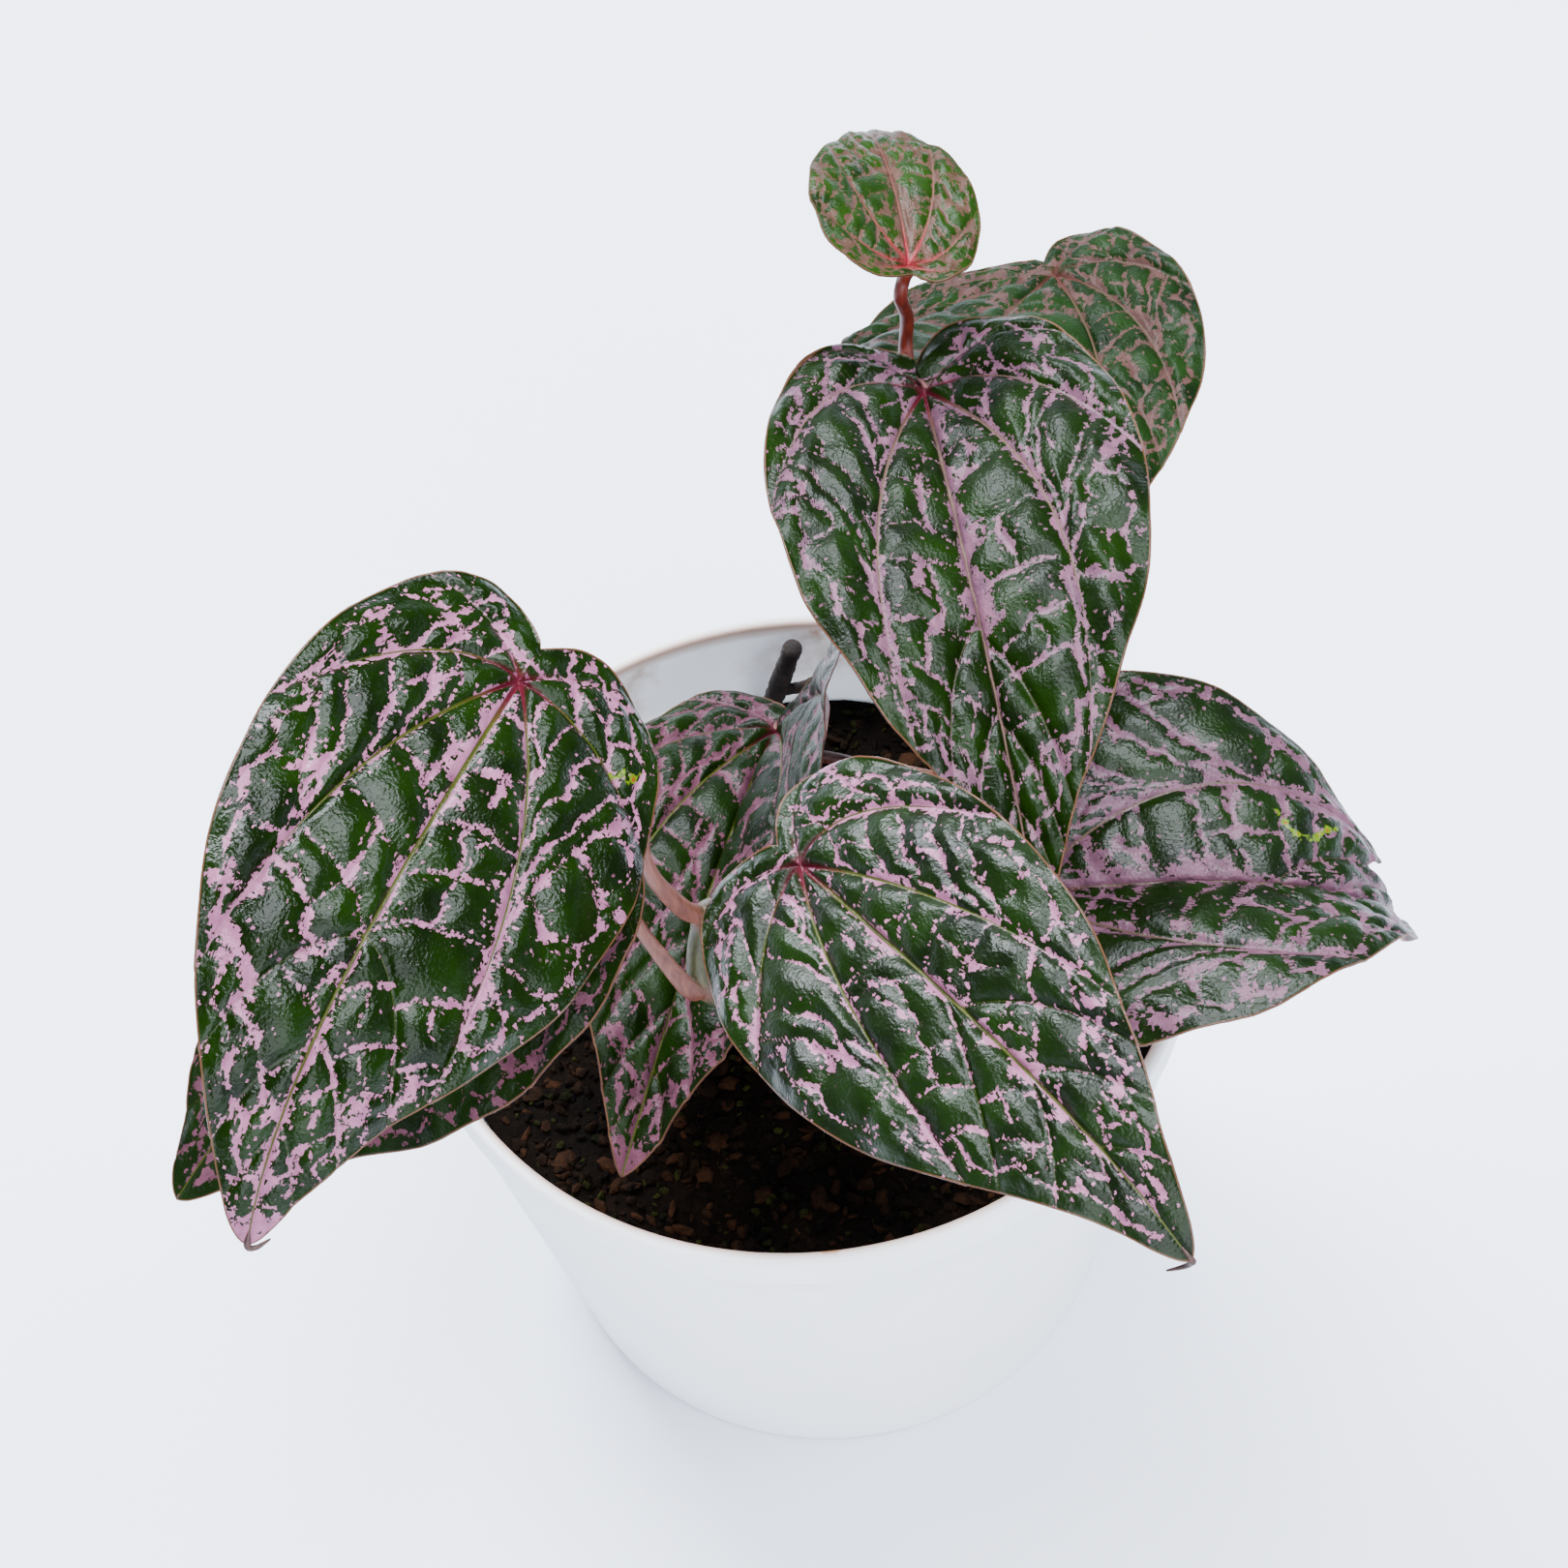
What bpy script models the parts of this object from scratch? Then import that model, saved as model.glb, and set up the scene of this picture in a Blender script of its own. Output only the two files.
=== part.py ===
"""Potted red betel: a plastic nursery pot of soil with two leafy stems, eight heart-shaped blades
and a dried stub. Millimetres in the constants, metres in the meshes. The origin is the middle of
the pot's underside, +Z is up and -Y is the front."""

import math
from collections import namedtuple

import bmesh
import bpy
import numpy as np
from mathutils import Matrix, Vector

MM = 0.001
SMOOTH_ANGLE = 35.0

# Pot: outer sizes, then wall and rim
RIM_RADIUS = 60.0
POT_HEIGHT = 85.0
FOOT_RADIUS = 46.0
WALL = 1.4
FLOOR = 1.6
BAND_HEIGHT = 6.0
BAND_STEP = 0.7
LIP_WIDTH = 2.2
LIP_ROUND = 0.8
FOOT_ROUND = 1.0
POT_SEGMENTS = 64
DRAIN_HOLES = 6
DRAIN_RADIUS = 4.0
DRAIN_CIRCLE = 32.0
DRAIN_SIDES = 16

# Soil: level at the wall, crown in the middle, crumbs on top
SOIL_LEVEL = 68.0
SOIL_CROWN = 1.2
SOIL_LUMP = 0.7
SOIL_RINGS = 9
SOIL_SEGMENTS = 40
SOIL_SEED = 11
SEAT_GAP = 0.3
ROOT_DEPTH = 22.0
HOLE_SIDES = 12

# Blade: the half outline from the notch behind the hub, round the lobe and the side, to the tip,
# as (share of the length, share of the half width)
HALF_OUTLINE = (
    (-0.070, 0.00), (-0.107, 0.14), (-0.125, 0.30), (-0.115, 0.47), (-0.062, 0.70), (0.030, 0.87),
    (0.150, 0.975), (0.280, 1.00), (0.420, 0.945), (0.530, 0.84), (0.650, 0.65), (0.750, 0.465),
    (0.830, 0.31), (0.900, 0.18), (0.950, 0.095), (1.000, 0.00))
OUTLINE_ASPECT = 0.34
# Where the side veins meet the margin, as shares of the way round it; the first three leave the hub.
# Each vein arches by VEIN_ARCH of its length, and cross veins make RUNGS bulges along it
VEIN_ENDS = (0.0, 0.17, 0.39, 0.58, 0.70, 0.81, 0.91, 1.0)
HUB_VEINS = 3
VEIN_ARCH = 0.10
RUNGS = 3
ROWS_PER_STRIP = 3
COLUMNS = 6
BLADE_THICKNESS = 0.75
# Relief for a blade of this length; smaller blades have less. The rungs between two side veins dip
# by RUNG_DIP of a bulge, relief starts within RELIEF_START of the midrib, and it calms down over the
# last CALM_STRIPS before the tip
RELIEF_LENGTH = 84.0
QUILT_HEIGHT = 1.3
QUILT_FLATNESS = 0.8
RUNG_DIP = 0.45
RELIEF_START = 1 / 3
CALM_STRIPS = 1.5
MARGIN_WAVE = 0.7
WAVES_PER_SIDE = 6
SIDE_WAVE_SHIFT = 0.3
RIB_STEPS = 60

# Tubes
TUBE_SIDES = 10
TUBE_STEP = 4.0

Blade = namedtuple("Blade", ("hub", "heading", "pitch", "roll", "droop", "tip_droop", "bend", "twist",
                             "folds", "curls", "length", "halves", "lobes"))

# Each blade hangs from its hub, where the petiole joins. Lengths in mm, angles in degrees:
# heading turns the midrib about Z from +X, pitch lifts it, roll turns the blade about it; droop and
# tip_droop bend it down along its length, bend and twist turn it sideways and about itself; folds
# and curls lift the left and the right half; lobes lifts the two lobes behind the hub.
BLADES = {
    "leaf_left": Blade((-32.0, -21.5, 177.0), -117.5, 8, -30, 27, 44, -9, -4, (-3, 1), (-18, -5),
                       84.5, (29.0, 25.5), 5),
    "leaf_front": Blade((1.0, -39.0, 153.5), -60, 14, 28, 14, 36, 5.5, -1, (6.5, 4.5), (-19, -11.5),
                        78.0, (21.5, 24.0), -2),
    "leaf_center": Blade((26.5, 33.5, 162.0), -87.5, 11.5, 3.5, 31, 18, 1, -2.5, (19, 19), (-23, -13),
                         86.0, (27.0, 25.0), 5),
    "leaf_right": Blade((31.0, -33.5, 132.5), -11, 14.5, 13.5, 42, 52, 17, -29, (25, 26.5), (-15, -36),
                        62.0, (30.0, 26.0), 5),
    "leaf_young": Blade((26.0, 40.0, 181.0), 88.5, 4.5, 14.5, 22, 20, 11, -8.5, (16, 15), (-7, -6),
                        36.5, (13.5, 11.0), 16),
    "leaf_back": Blade((50.7, 74.5, 140.0), -76.5, 18.5, -6, 20, 26, -30, -17.5, (16.5, -1), (3, -8),
                       61.0, (17.0, 37.0), 4),
    "leaf_under": Blade((-30.5, -29.5, 152.0), -166, -17.5, 0, 21, 3, 20.5, -9.5, (4, 4), (-9.5, -15.5),
                        74.0, (29.0, 25.0), 4),
    "leaf_low": Blade((0.0, 31.5, 91.0), -112.5, 16, 24, 53.5, -20.5, -1, -36.5, (28.5, 21), (30.5, -2),
                      80.0, (29.0, 24.0), -4),
}

# Stems: route points in mm from the soil up, and the height of each swollen joint
STEM_RADIUS = 2.1
STEM_TIP_RADIUS = 1.5
JOINT_SWELL = 0.55
JOINT_SPAN = 2.2
JOINT_FREE_HEIGHT = 4.0
STEM_FRONT = ((6, -16, SOIL_LEVEL), (6, -16.5, 74), (3, -24, 90), (-5, -28.5, 103), (-14.6, -28.5, 113),
              (-13.2, -24.5, 123), (-8.5, -27.5, 130.5))
STEM_BACK = ((22, 12, SOIL_LEVEL), (22.4, 12, 74), (27, 12, 90), (29, 13, 110), (28.5, 15, 127),
             (27, 22, 143), (25, 35, 154))
STEM_FRONT_JOINTS = (90.0, 113.0, 124.0)
STEM_BACK_JOINTS = (84.0, 96.0, 108.0, 121.0, 136.0, 154.0)

# Petioles: radius at the stem and at the hub, the share of the length that tapers, how far under the
# hub the petiole stands square to the blade, then the route points between stem and hub
PETIOLE_BASE_RADIUS = 1.5
PETIOLE_HUB_RADIUS = 1.0
PETIOLE_TAPER_SHARE = 0.4
PETIOLE_SIDES = 8
HUB_APPROACH = 5.0
HUB_KNEE_BACK = 1.0
PETIOLES = {
    "stem_front": {
        "leaf_under": ((-14.6, -28.5, 113), (-16.6, -30.5, 115), (-20.9, -30, 127), (-23.5, -29.5, 136)),
        "leaf_left": ((-13.2, -24.5, 124), (-16, -27.5, 131), (-19.5, -30, 145.5), (-19.5, -27, 159),
                      (-25, -23, 169)),
        "leaf_front": ((-8.5, -27.5, 130.5), (-4, -31.5, 137), (-0.5, -35, 144)),
    },
    "stem_back": {
        "leaf_low": ((27.5, 12.3, 96), (20, 15, 97.5), (12.4, 20, 95), (6.8, 27, 89)),
        "leaf_right": ((28.8, 13.5, 108), (31.5, 2, 113), (33, -16, 120), (32, -27, 125)),
        "leaf_back": ((28.8, 14, 121), (37, 32, 124), (46, 56, 129)),
        "leaf_center": ((27.8, 18, 136), (30, 22, 144), (29.5, 28, 152)),
        "leaf_young": ((25, 35, 154), (25, 42.5, 160.5), (25.5, 42.5, 168)),
    },
}

# Dried stub and its twig
STUB_ROUTE = ((-1, 50, SOIL_LEVEL), (-1, 50, 72), (0.5, 49, 78), (4.2, 45.5, 94))
STUB_RADIUS = 1.9
STUB_TIP_RADIUS = 1.5
TWIG_ROUTE = ((1.3, 48.4, 80), (5.0, 46.5, 82.5), (8.0, 45.6, 85.5))
TWIG_RADIUS = 1.1
TWIG_TAPER = 0.3

# Finish of each node: base colour, roughness
FINISHES = {
    "pot": ((0.80, 0.82, 0.84), 0.45),
    "soil": ((0.020, 0.011, 0.007), 0.95),
    "leaf": ((0.030, 0.080, 0.028), 0.35),
    "leaf_young": ((0.075, 0.15, 0.022), 0.35),
    "stem_front": ((0.32, 0.25, 0.18), 0.5),
    "stem_back": ((0.30, 0.20, 0.15), 0.5),
    "dry_stub": ((0.035, 0.022, 0.015), 0.9),
}


def material(name):
    """One Principled material for a node."""
    colour, roughness = FINISHES.get(name, FINISHES["leaf"])
    mat = bpy.data.materials.new(name)
    mat.use_nodes = True
    shader = mat.node_tree.nodes["Principled BSDF"]
    shader.inputs["Base Color"].default_value = (*colour, 1.0)
    shader.inputs["Roughness"].default_value = roughness
    shader.inputs["Metallic"].default_value = 0.0
    return mat


def add_object(name, bm, smooth_angle=SMOOTH_ANGLE):
    """Turn a bmesh in mm into a named, shaded object in metres."""
    bmesh.ops.transform(bm, matrix=Matrix.Scale(MM, 4), verts=bm.verts)
    mesh = bpy.data.meshes.new(name)
    bm.to_mesh(mesh)
    bm.free()
    mesh.shade_smooth()
    mesh.set_sharp_from_angle(angle=math.radians(smooth_angle))
    obj = bpy.data.objects.new(name, mesh)
    bpy.context.scene.collection.objects.link(obj)
    return obj


def finished(obj):
    """Give a node its own material."""
    obj.data.materials.append(material(obj.name))
    return obj


def apply_boolean(obj, operation, others):
    """Boolean one object with several others, then remove the others."""
    group = bpy.data.collections.new(obj.name + "_tools")
    for other in others:
        group.objects.link(other)
    mod = obj.modifiers.new("Boolean", "BOOLEAN")
    mod.operation = operation
    mod.operand_type = "COLLECTION"
    mod.collection = group
    mod.solver = "EXACT"
    depsgraph = bpy.context.evaluated_depsgraph_get()
    mesh = bpy.data.meshes.new_from_object(obj.evaluated_get(depsgraph))
    obj.modifiers.clear()
    obj.data = mesh
    for other in others:
        bpy.data.objects.remove(other)
    bpy.data.collections.remove(group)


def lathe(profile, segments):
    """Closed solid turned about Z from (radius, height) points that start and end on the axis."""
    bm = bmesh.new()
    rings = []
    for radius, height in profile:
        if radius == 0.0:
            rings.append([bm.verts.new((0.0, 0.0, height))])
            continue
        angles = (2 * math.pi * k / segments for k in range(segments))
        rings.append([bm.verts.new((radius * math.cos(a), radius * math.sin(a), height)) for a in angles])
    for lower, upper in zip(rings, rings[1:]):
        bridge(bm, lower, upper)
    bmesh.ops.recalc_face_normals(bm, faces=bm.faces)
    return bm


def bridge(bm, first, second):
    """Faces between two rings; a ring of one point makes a fan."""
    count = max(len(first), len(second))
    for k in range(count):
        n = (k + 1) % count
        if len(first) == 1:
            bm.faces.new((first[0], second[k], second[n]))
        elif len(second) == 1:
            bm.faces.new((first[k], second[0], first[n]))
        else:
            bm.faces.new((first[k], second[k], second[n], first[n]))


def wall_radius(height):
    """Outer radius of the tapered wall."""
    top_radius = RIM_RADIUS - BAND_STEP
    return FOOT_RADIUS + (top_radius - FOOT_RADIUS) * height / (POT_HEIGHT - BAND_HEIGHT)


def inner_radius(height):
    """Inner radius of the pot, from the floor to the lip."""
    floor_radius = wall_radius(FLOOR) - WALL
    lip_radius = RIM_RADIUS - LIP_WIDTH
    return floor_radius + (lip_radius - floor_radius) * (height - FLOOR) / (POT_HEIGHT - FLOOR)


def build_pot():
    """Tapered pot with a rim band, a rounded lip and drain holes round the floor."""
    band_foot = POT_HEIGHT - BAND_HEIGHT
    profile = [
        (0.0, FLOOR),
        (inner_radius(FLOOR), FLOOR),
        (inner_radius(POT_HEIGHT - LIP_ROUND), POT_HEIGHT - LIP_ROUND),
        (inner_radius(POT_HEIGHT) + LIP_ROUND / 2, POT_HEIGHT),
        (RIM_RADIUS - LIP_ROUND, POT_HEIGHT),
        (RIM_RADIUS, POT_HEIGHT - LIP_ROUND),
        (RIM_RADIUS, band_foot + BAND_STEP),
        (wall_radius(band_foot), band_foot),
        (wall_radius(FOOT_ROUND), FOOT_ROUND),
        (FOOT_RADIUS - FOOT_ROUND, 0.0),
        (0.0, 0.0),
    ]
    pot = add_object("pot", lathe(profile, POT_SEGMENTS))
    drills = []
    for k in range(DRAIN_HOLES):
        angle = 2 * math.pi * (k + 0.5) / DRAIN_HOLES
        centre = Vector((DRAIN_CIRCLE * math.cos(angle), DRAIN_CIRCLE * math.sin(angle), FLOOR / 2))
        drills.append(cylinder("drill", centre, DRAIN_RADIUS, 3 * FLOOR, DRAIN_SIDES))
    apply_boolean(pot, "DIFFERENCE", drills)
    return finished(pot)


def cylinder(name, centre, radius, depth, sides):
    """Upright cylinder used as a cutter."""
    bm = bmesh.new()
    bmesh.ops.create_cone(bm, cap_ends=True, segments=sides, radius1=radius, radius2=radius, depth=depth,
                          matrix=Matrix.Translation(centre))
    return add_object(name, bm)


def build_soil():
    """Crumbly soil that fills the pot, with a plain hole for each stem."""
    rng = np.random.default_rng(SOIL_SEED)
    foot = FLOOR + SEAT_GAP
    edge = inner_radius(SOIL_LEVEL) - SEAT_GAP
    profile = [(0.0, foot), (inner_radius(foot) - SEAT_GAP, foot), (edge, SOIL_LEVEL)]
    for k in range(1, SOIL_RINGS):
        share = 1.0 - k / SOIL_RINGS
        profile.append((edge * share, SOIL_LEVEL + SOIL_CROWN * (1.0 - share ** 2)))
    profile.append((0.0, SOIL_LEVEL + SOIL_CROWN))
    bm = lathe(profile, SOIL_SEGMENTS)
    for vert in bm.verts:
        if vert.co.z > SOIL_LEVEL + SOIL_CROWN / 100:
            vert.co.z += SOIL_LUMP * (rng.random() * 2.0 - 1.0)
    bmesh.ops.triangulate(bm, faces=bm.faces)
    soil = add_object("soil", bm)
    holes = []
    for route, radius in ((STEM_FRONT, STEM_RADIUS), (STEM_BACK, STEM_RADIUS), (STUB_ROUTE, STUB_RADIUS)):
        x, y, z = route[0]
        depth = ROOT_DEPTH + SEAT_GAP
        top = z + 2 * (SOIL_CROWN + SOIL_LUMP)
        centre = Vector((x, y, (top + z - depth) / 2))
        holes.append(cylinder("hole", centre, radius + SEAT_GAP, top - z + depth, HOLE_SIDES))
    apply_boolean(soil, "DIFFERENCE", holes)
    return finished(soil)


def smooth_route(points, step):
    """Points along a smooth curve through the route's own points."""
    pts = [Vector(p) for p in points]
    pts = [pts[0] * 2 - pts[1]] + pts + [pts[-1] * 2 - pts[-2]]
    route = []
    for a, b, c, d in zip(pts, pts[1:], pts[2:], pts[3:]):
        count = max(1, round((c - b).length / step))
        for k in range(count):
            t = k / count
            route.append(0.5 * (2 * b + (c - a) * t + (2 * a - 5 * b + 4 * c - d) * t ** 2
                                + (3 * b - a - 3 * c + d) * t ** 3))
    return route + [pts[-2]]


def tube(name, route, radius_at, sides=TUBE_SIDES):
    """Closed round tube along a route; radius_at takes the share of its length and the point."""
    bm = bmesh.new()
    lengths = [0.0]
    for a, b in zip(route, route[1:]):
        lengths.append(lengths[-1] + (b - a).length)
    side = Vector((0.0, 0.0, 1.0)).cross(route[1] - route[0])
    side = side.normalized() if side.length > 0.0 else Vector((1.0, 0.0, 0.0))
    rings = []
    for k, point in enumerate(route):
        ahead = route[min(k + 1, len(route) - 1)] - route[max(k - 1, 0)]
        ahead.normalize()
        side = (side - ahead * side.dot(ahead)).normalized()
        across = ahead.cross(side)
        radius = radius_at(lengths[k] / lengths[-1], point)
        ring = []
        for j in range(sides):
            angle = 2 * math.pi * j / sides
            ring.append(bm.verts.new(point + radius * (math.cos(angle) * side + math.sin(angle) * across)))
        rings.append(ring)
    for first, second in zip(rings, rings[1:]):
        bridge(bm, first, second)
    bm.faces.new(rings[0])
    bm.faces.new(rings[-1])
    bmesh.ops.recalc_face_normals(bm, faces=bm.faces)
    return add_object(name, bm)


def stem_tube(name, route, joints):
    """Stem rooted in its hole, with a swollen ring at each joint."""
    foot = Vector(route[0]) - Vector((0.0, 0.0, ROOT_DEPTH))
    points = [foot] + smooth_route(route, TUBE_STEP / 2)

    def radius_at(share, point):
        taper = STEM_RADIUS + (STEM_TIP_RADIUS - STEM_RADIUS) * share
        swell = sum(math.exp(-((point.z - z) / JOINT_SPAN) ** 2) for z in joints)
        return taper + (JOINT_SWELL * swell if point.z > SOIL_LEVEL + JOINT_FREE_HEIGHT else 0.0)

    return tube(name, points, radius_at)


def hub_frame(blade):
    """The midrib's direction and the upper side's normal at the hub."""
    rib = rib_frames(blade)
    return Vector(rib["ahead"][0]), Vector(rib["up"][0])


def petiole_tube(name, blade, points):
    """Petiole from inside the stem to just under the blade's hub, meeting it square."""
    ahead, up = hub_frame(blade)
    hub = Vector(blade.hub) - up * (BLADE_THICKNESS + SEAT_GAP)
    arrival = hub - up * HUB_APPROACH / 2
    knee = hub - up * HUB_APPROACH - ahead * HUB_KNEE_BACK
    route = smooth_route([*points, knee, arrival, hub], TUBE_STEP)

    def radius_at(share, _point):
        taper = min(1.0, share / PETIOLE_TAPER_SHARE)
        return PETIOLE_BASE_RADIUS + (PETIOLE_HUB_RADIUS - PETIOLE_BASE_RADIUS) * taper

    return tube(name, route, radius_at, PETIOLE_SIDES)


def build_stem(name, route, joints):
    """A stem with its petioles, grown as one."""
    stem = stem_tube(name, route, joints)
    petioles = [petiole_tube(leaf, BLADES[leaf], points) for leaf, points in PETIOLES[name].items()]
    apply_boolean(stem, "UNION", petioles)
    return finished(stem)


def build_stub():
    """Dried stub with a short side twig."""
    foot = Vector(STUB_ROUTE[0]) - Vector((0.0, 0.0, ROOT_DEPTH / 2))
    points = [foot] + smooth_route(STUB_ROUTE, TUBE_STEP)

    def stub_radius(share, _point):
        return STUB_RADIUS + (STUB_TIP_RADIUS - STUB_RADIUS) * share

    def twig_radius(share, _point):
        return TWIG_RADIUS * (1.0 - TWIG_TAPER * share)

    stub = tube("dry_stub", points, stub_radius)
    twig = tube("twig", smooth_route(TWIG_ROUTE, TUBE_STEP), twig_radius, PETIOLE_SIDES)
    apply_boolean(stub, "UNION", [twig])
    return finished(stub)


def outline_table():
    """The half outline as a fine line: its length share, then its two coordinates."""
    pts = [Vector(p) for p in HALF_OUTLINE]
    fine = smooth_route([(p.x, p.y * OUTLINE_ASPECT, 0.0) for p in pts], 0.01)
    xy = np.array([(p.x, max(p.y, 0.0) / OUTLINE_ASPECT) for p in fine])
    real = np.array([(p.x, p.y) for p in fine])
    run = np.concatenate([[0.0], np.cumsum(np.linalg.norm(np.diff(real, axis=0), axis=1))])
    return run / run[-1], xy[:, 0], xy[:, 1]


OUTLINE = outline_table()


def strip_to_margin(phase):
    """Share of the way round the margin for a vein count from the notch to the tip."""
    return float(np.interp(phase, range(len(VEIN_ENDS)), VEIN_ENDS))


def rib_share(margin):
    """Where the row that ends at this margin share leaves the midrib."""
    start = VEIN_ENDS[HUB_VEINS]
    return max(0.0, (margin - start) / (1.0 - start))


def flat_point(blade, side, phase, across):
    """Flat place (along, out) in mm of a point on the row of this phase; side is 0 left, 1 right."""
    margin = strip_to_margin(phase)
    end_x = float(np.interp(margin, OUTLINE[0], OUTLINE[1])) * blade.length
    end_y = float(np.interp(margin, OUTLINE[0], OUTLINE[2])) * blade.halves[side]
    root_x = rib_share(margin) * blade.length
    x = root_x + across * (end_x - root_x)
    y = across * end_y
    arch = VEIN_ARCH * 2 * across * (1.0 - across) * min(1.0, margin / VEIN_ENDS[2])
    return x - arch * end_y, y + arch * (end_x - root_x)


def relief(blade, side, phase, across):
    """Height in mm of the quilted face: veins are valleys, with bulges between them."""
    strip = int(phase)
    stagger = ((strip + side) % 2) / 2
    between = math.sin(math.pi * (phase - strip)) ** QUILT_FLATNESS if phase > strip else 0.0
    rung = 1.0 - RUNG_DIP * (1.0 - abs(math.sin(math.pi * (RUNGS * across + stagger))))
    fade = min(1.0, across / RELIEF_START) * (1.0 - across ** 4)
    wave = math.sin(2 * math.pi * (WAVES_PER_SIDE * strip_to_margin(phase) + SIDE_WAVE_SHIFT * side))
    calm = min(1.0, (len(VEIN_ENDS) - 1 - phase) / CALM_STRIPS)
    height = QUILT_HEIGHT * between * rung * fade + MARGIN_WAVE * wave * across ** 3
    return height * calm * blade.length / RELIEF_LENGTH


def rib_frames(blade):
    """Places and directions along the bent midrib."""
    t = np.linspace(0.0, 1.0, RIB_STEPS + 1)
    heading = np.radians(blade.heading + blade.bend * t)
    pitch = np.radians(blade.pitch - blade.droop * t - blade.tip_droop * t ** 3)
    roll = np.radians(blade.roll + blade.twist * t)[:, None]
    ahead = np.stack([np.cos(pitch) * np.cos(heading), np.cos(pitch) * np.sin(heading), np.sin(pitch)], 1)
    level = np.stack([-np.sin(heading), np.cos(heading), 0 * heading], 1)
    above = np.cross(ahead, level)
    left = np.cos(roll) * level + np.sin(roll) * above
    up = np.cos(roll) * above - np.sin(roll) * level
    steps = (ahead[1:] + ahead[:-1]) / 2 * blade.length / RIB_STEPS
    place = np.array(blade.hub) + np.vstack([np.zeros(3), np.cumsum(steps, axis=0)])
    return {"t": t, "place": place, "ahead": ahead, "left": left, "up": up}


def bend_point(blade, rib, side, x, y, height):
    """Carry a flat point and its height onto the bent blade."""
    share = min(max(x / blade.length, 0.0), 1.0)
    place, ahead, left, up = (np.array([np.interp(share, rib["t"], rib[key][:, k]) for k in range(3)])
                              for key in ("place", "ahead", "left", "up"))
    behind = min(x, 0.0)
    lift = math.radians(blade.lobes)
    half = y / blade.halves[side]
    angle = math.radians(blade.folds[side] + blade.curls[side] * half / 2)
    out = y * math.cos(angle) - height * math.sin(angle)
    rise = y * math.sin(angle) + height * math.cos(angle)
    sign = 1.0 if side == 0 else -1.0
    along = behind * math.cos(lift)
    above = rise - behind * math.sin(lift)
    return place + ahead * along + up * above + left * sign * out


def build_blade(name):
    """One quilted, bent blade: a triangulated face made into a solid of even thickness."""
    blade = BLADES[name]
    rib = rib_frames(blade)
    strips = len(VEIN_ENDS) - 1
    rows = strips * ROWS_PER_STRIP
    bm = bmesh.new()
    verts = {}

    def vert(side, row, column):
        phase = row / ROWS_PER_STRIP
        across = column / COLUMNS
        if row == rows:
            key = "tip"
        elif column == 0:
            key = ("rib", max(row, HUB_VEINS * ROWS_PER_STRIP))
        elif row == 0:
            key = ("seam", column)
        else:
            key = (side, row, column)
        if key not in verts:
            x, y = flat_point(blade, side, phase, across)
            height = relief(blade, side, phase, across)
            verts[key] = bm.verts.new(bend_point(blade, rib, side, x, y, height))
        return verts[key]

    for side in (0, 1):
        for row in range(rows):
            for column in range(COLUMNS):
                corners = [vert(side, row, column), vert(side, row, column + 1),
                           vert(side, row + 1, column + 1), vert(side, row + 1, column)]
                corners = [c for k, c in enumerate(corners) if c not in corners[:k]]
                bm.faces.new(corners if side == 1 else corners[::-1])
    bmesh.ops.triangulate(bm, faces=bm.faces)
    obj = add_object(name, bm)
    solid = obj.modifiers.new("Thickness", "SOLIDIFY")
    solid.thickness = BLADE_THICKNESS * MM
    solid.offset = -1.0
    return finished(obj)


def main():
    for obj in list(bpy.data.objects):
        bpy.data.objects.remove(obj)
    build_pot()
    build_soil()
    build_stem("stem_front", STEM_FRONT, STEM_FRONT_JOINTS)
    build_stem("stem_back", STEM_BACK, STEM_BACK_JOINTS)
    build_stub()
    for name in BLADES:
        build_blade(name)


main()
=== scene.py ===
"""Looks of the potted red betel: fine blades with their pink net, stems, potting mix and pot."""

import math
from collections import namedtuple

import bmesh
import bpy
import numpy as np
from mathutils import Matrix, Vector


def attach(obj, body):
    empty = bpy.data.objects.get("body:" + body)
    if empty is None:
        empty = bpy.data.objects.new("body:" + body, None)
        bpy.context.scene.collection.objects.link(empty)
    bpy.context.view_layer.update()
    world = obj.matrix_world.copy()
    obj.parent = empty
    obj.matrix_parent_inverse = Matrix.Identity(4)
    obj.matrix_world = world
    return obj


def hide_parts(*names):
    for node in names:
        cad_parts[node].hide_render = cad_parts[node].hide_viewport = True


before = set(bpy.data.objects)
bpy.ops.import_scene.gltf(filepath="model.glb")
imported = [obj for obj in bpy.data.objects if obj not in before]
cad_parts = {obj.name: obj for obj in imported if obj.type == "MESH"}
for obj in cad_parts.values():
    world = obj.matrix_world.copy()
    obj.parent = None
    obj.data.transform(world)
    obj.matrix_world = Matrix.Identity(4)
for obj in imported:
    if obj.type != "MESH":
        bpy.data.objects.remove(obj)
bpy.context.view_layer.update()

MM = 0.001

# Pot, as in the solids it replaces: millimetres
RIM_RADIUS = 60.0
POT_HEIGHT = 85.0
FOOT_RADIUS = 46.0
WALL = 1.4
FLOOR = 1.6
BAND_HEIGHT = 6.0
BAND_STEP = 0.7
LIP_WIDTH = 2.2
DRAIN_HOLES = 6
DRAIN_RADIUS = 4.0
DRAIN_CIRCLE = 32.0
# Its fine shape: roundings, the heights of the wall's rings outside and inside, and the moulded line
# under the band, by its depths under it and its height on the wall
FOOT_ROUND = 1.0
LIP_ROUND = 0.8
INNER_LIP_ROUND = 0.6
BAND_ROUND = 0.5
BAND_LIFT = 0.75
FLOOR_ROUND = (0.8, 1.0)
OUTER_RINGS = (3.0, 20.0, 40.0, 60.0)
INNER_RINGS = (80.0, 70.0, 50.0, 30.0)
LINE_DEPTHS = (1.6, 1.2, 0.8)
LINE_HEIGHT = 0.15
POT_SIDES = 180
DRAIN_SIDES = 32
SHARP_ANGLE = 40

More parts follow.
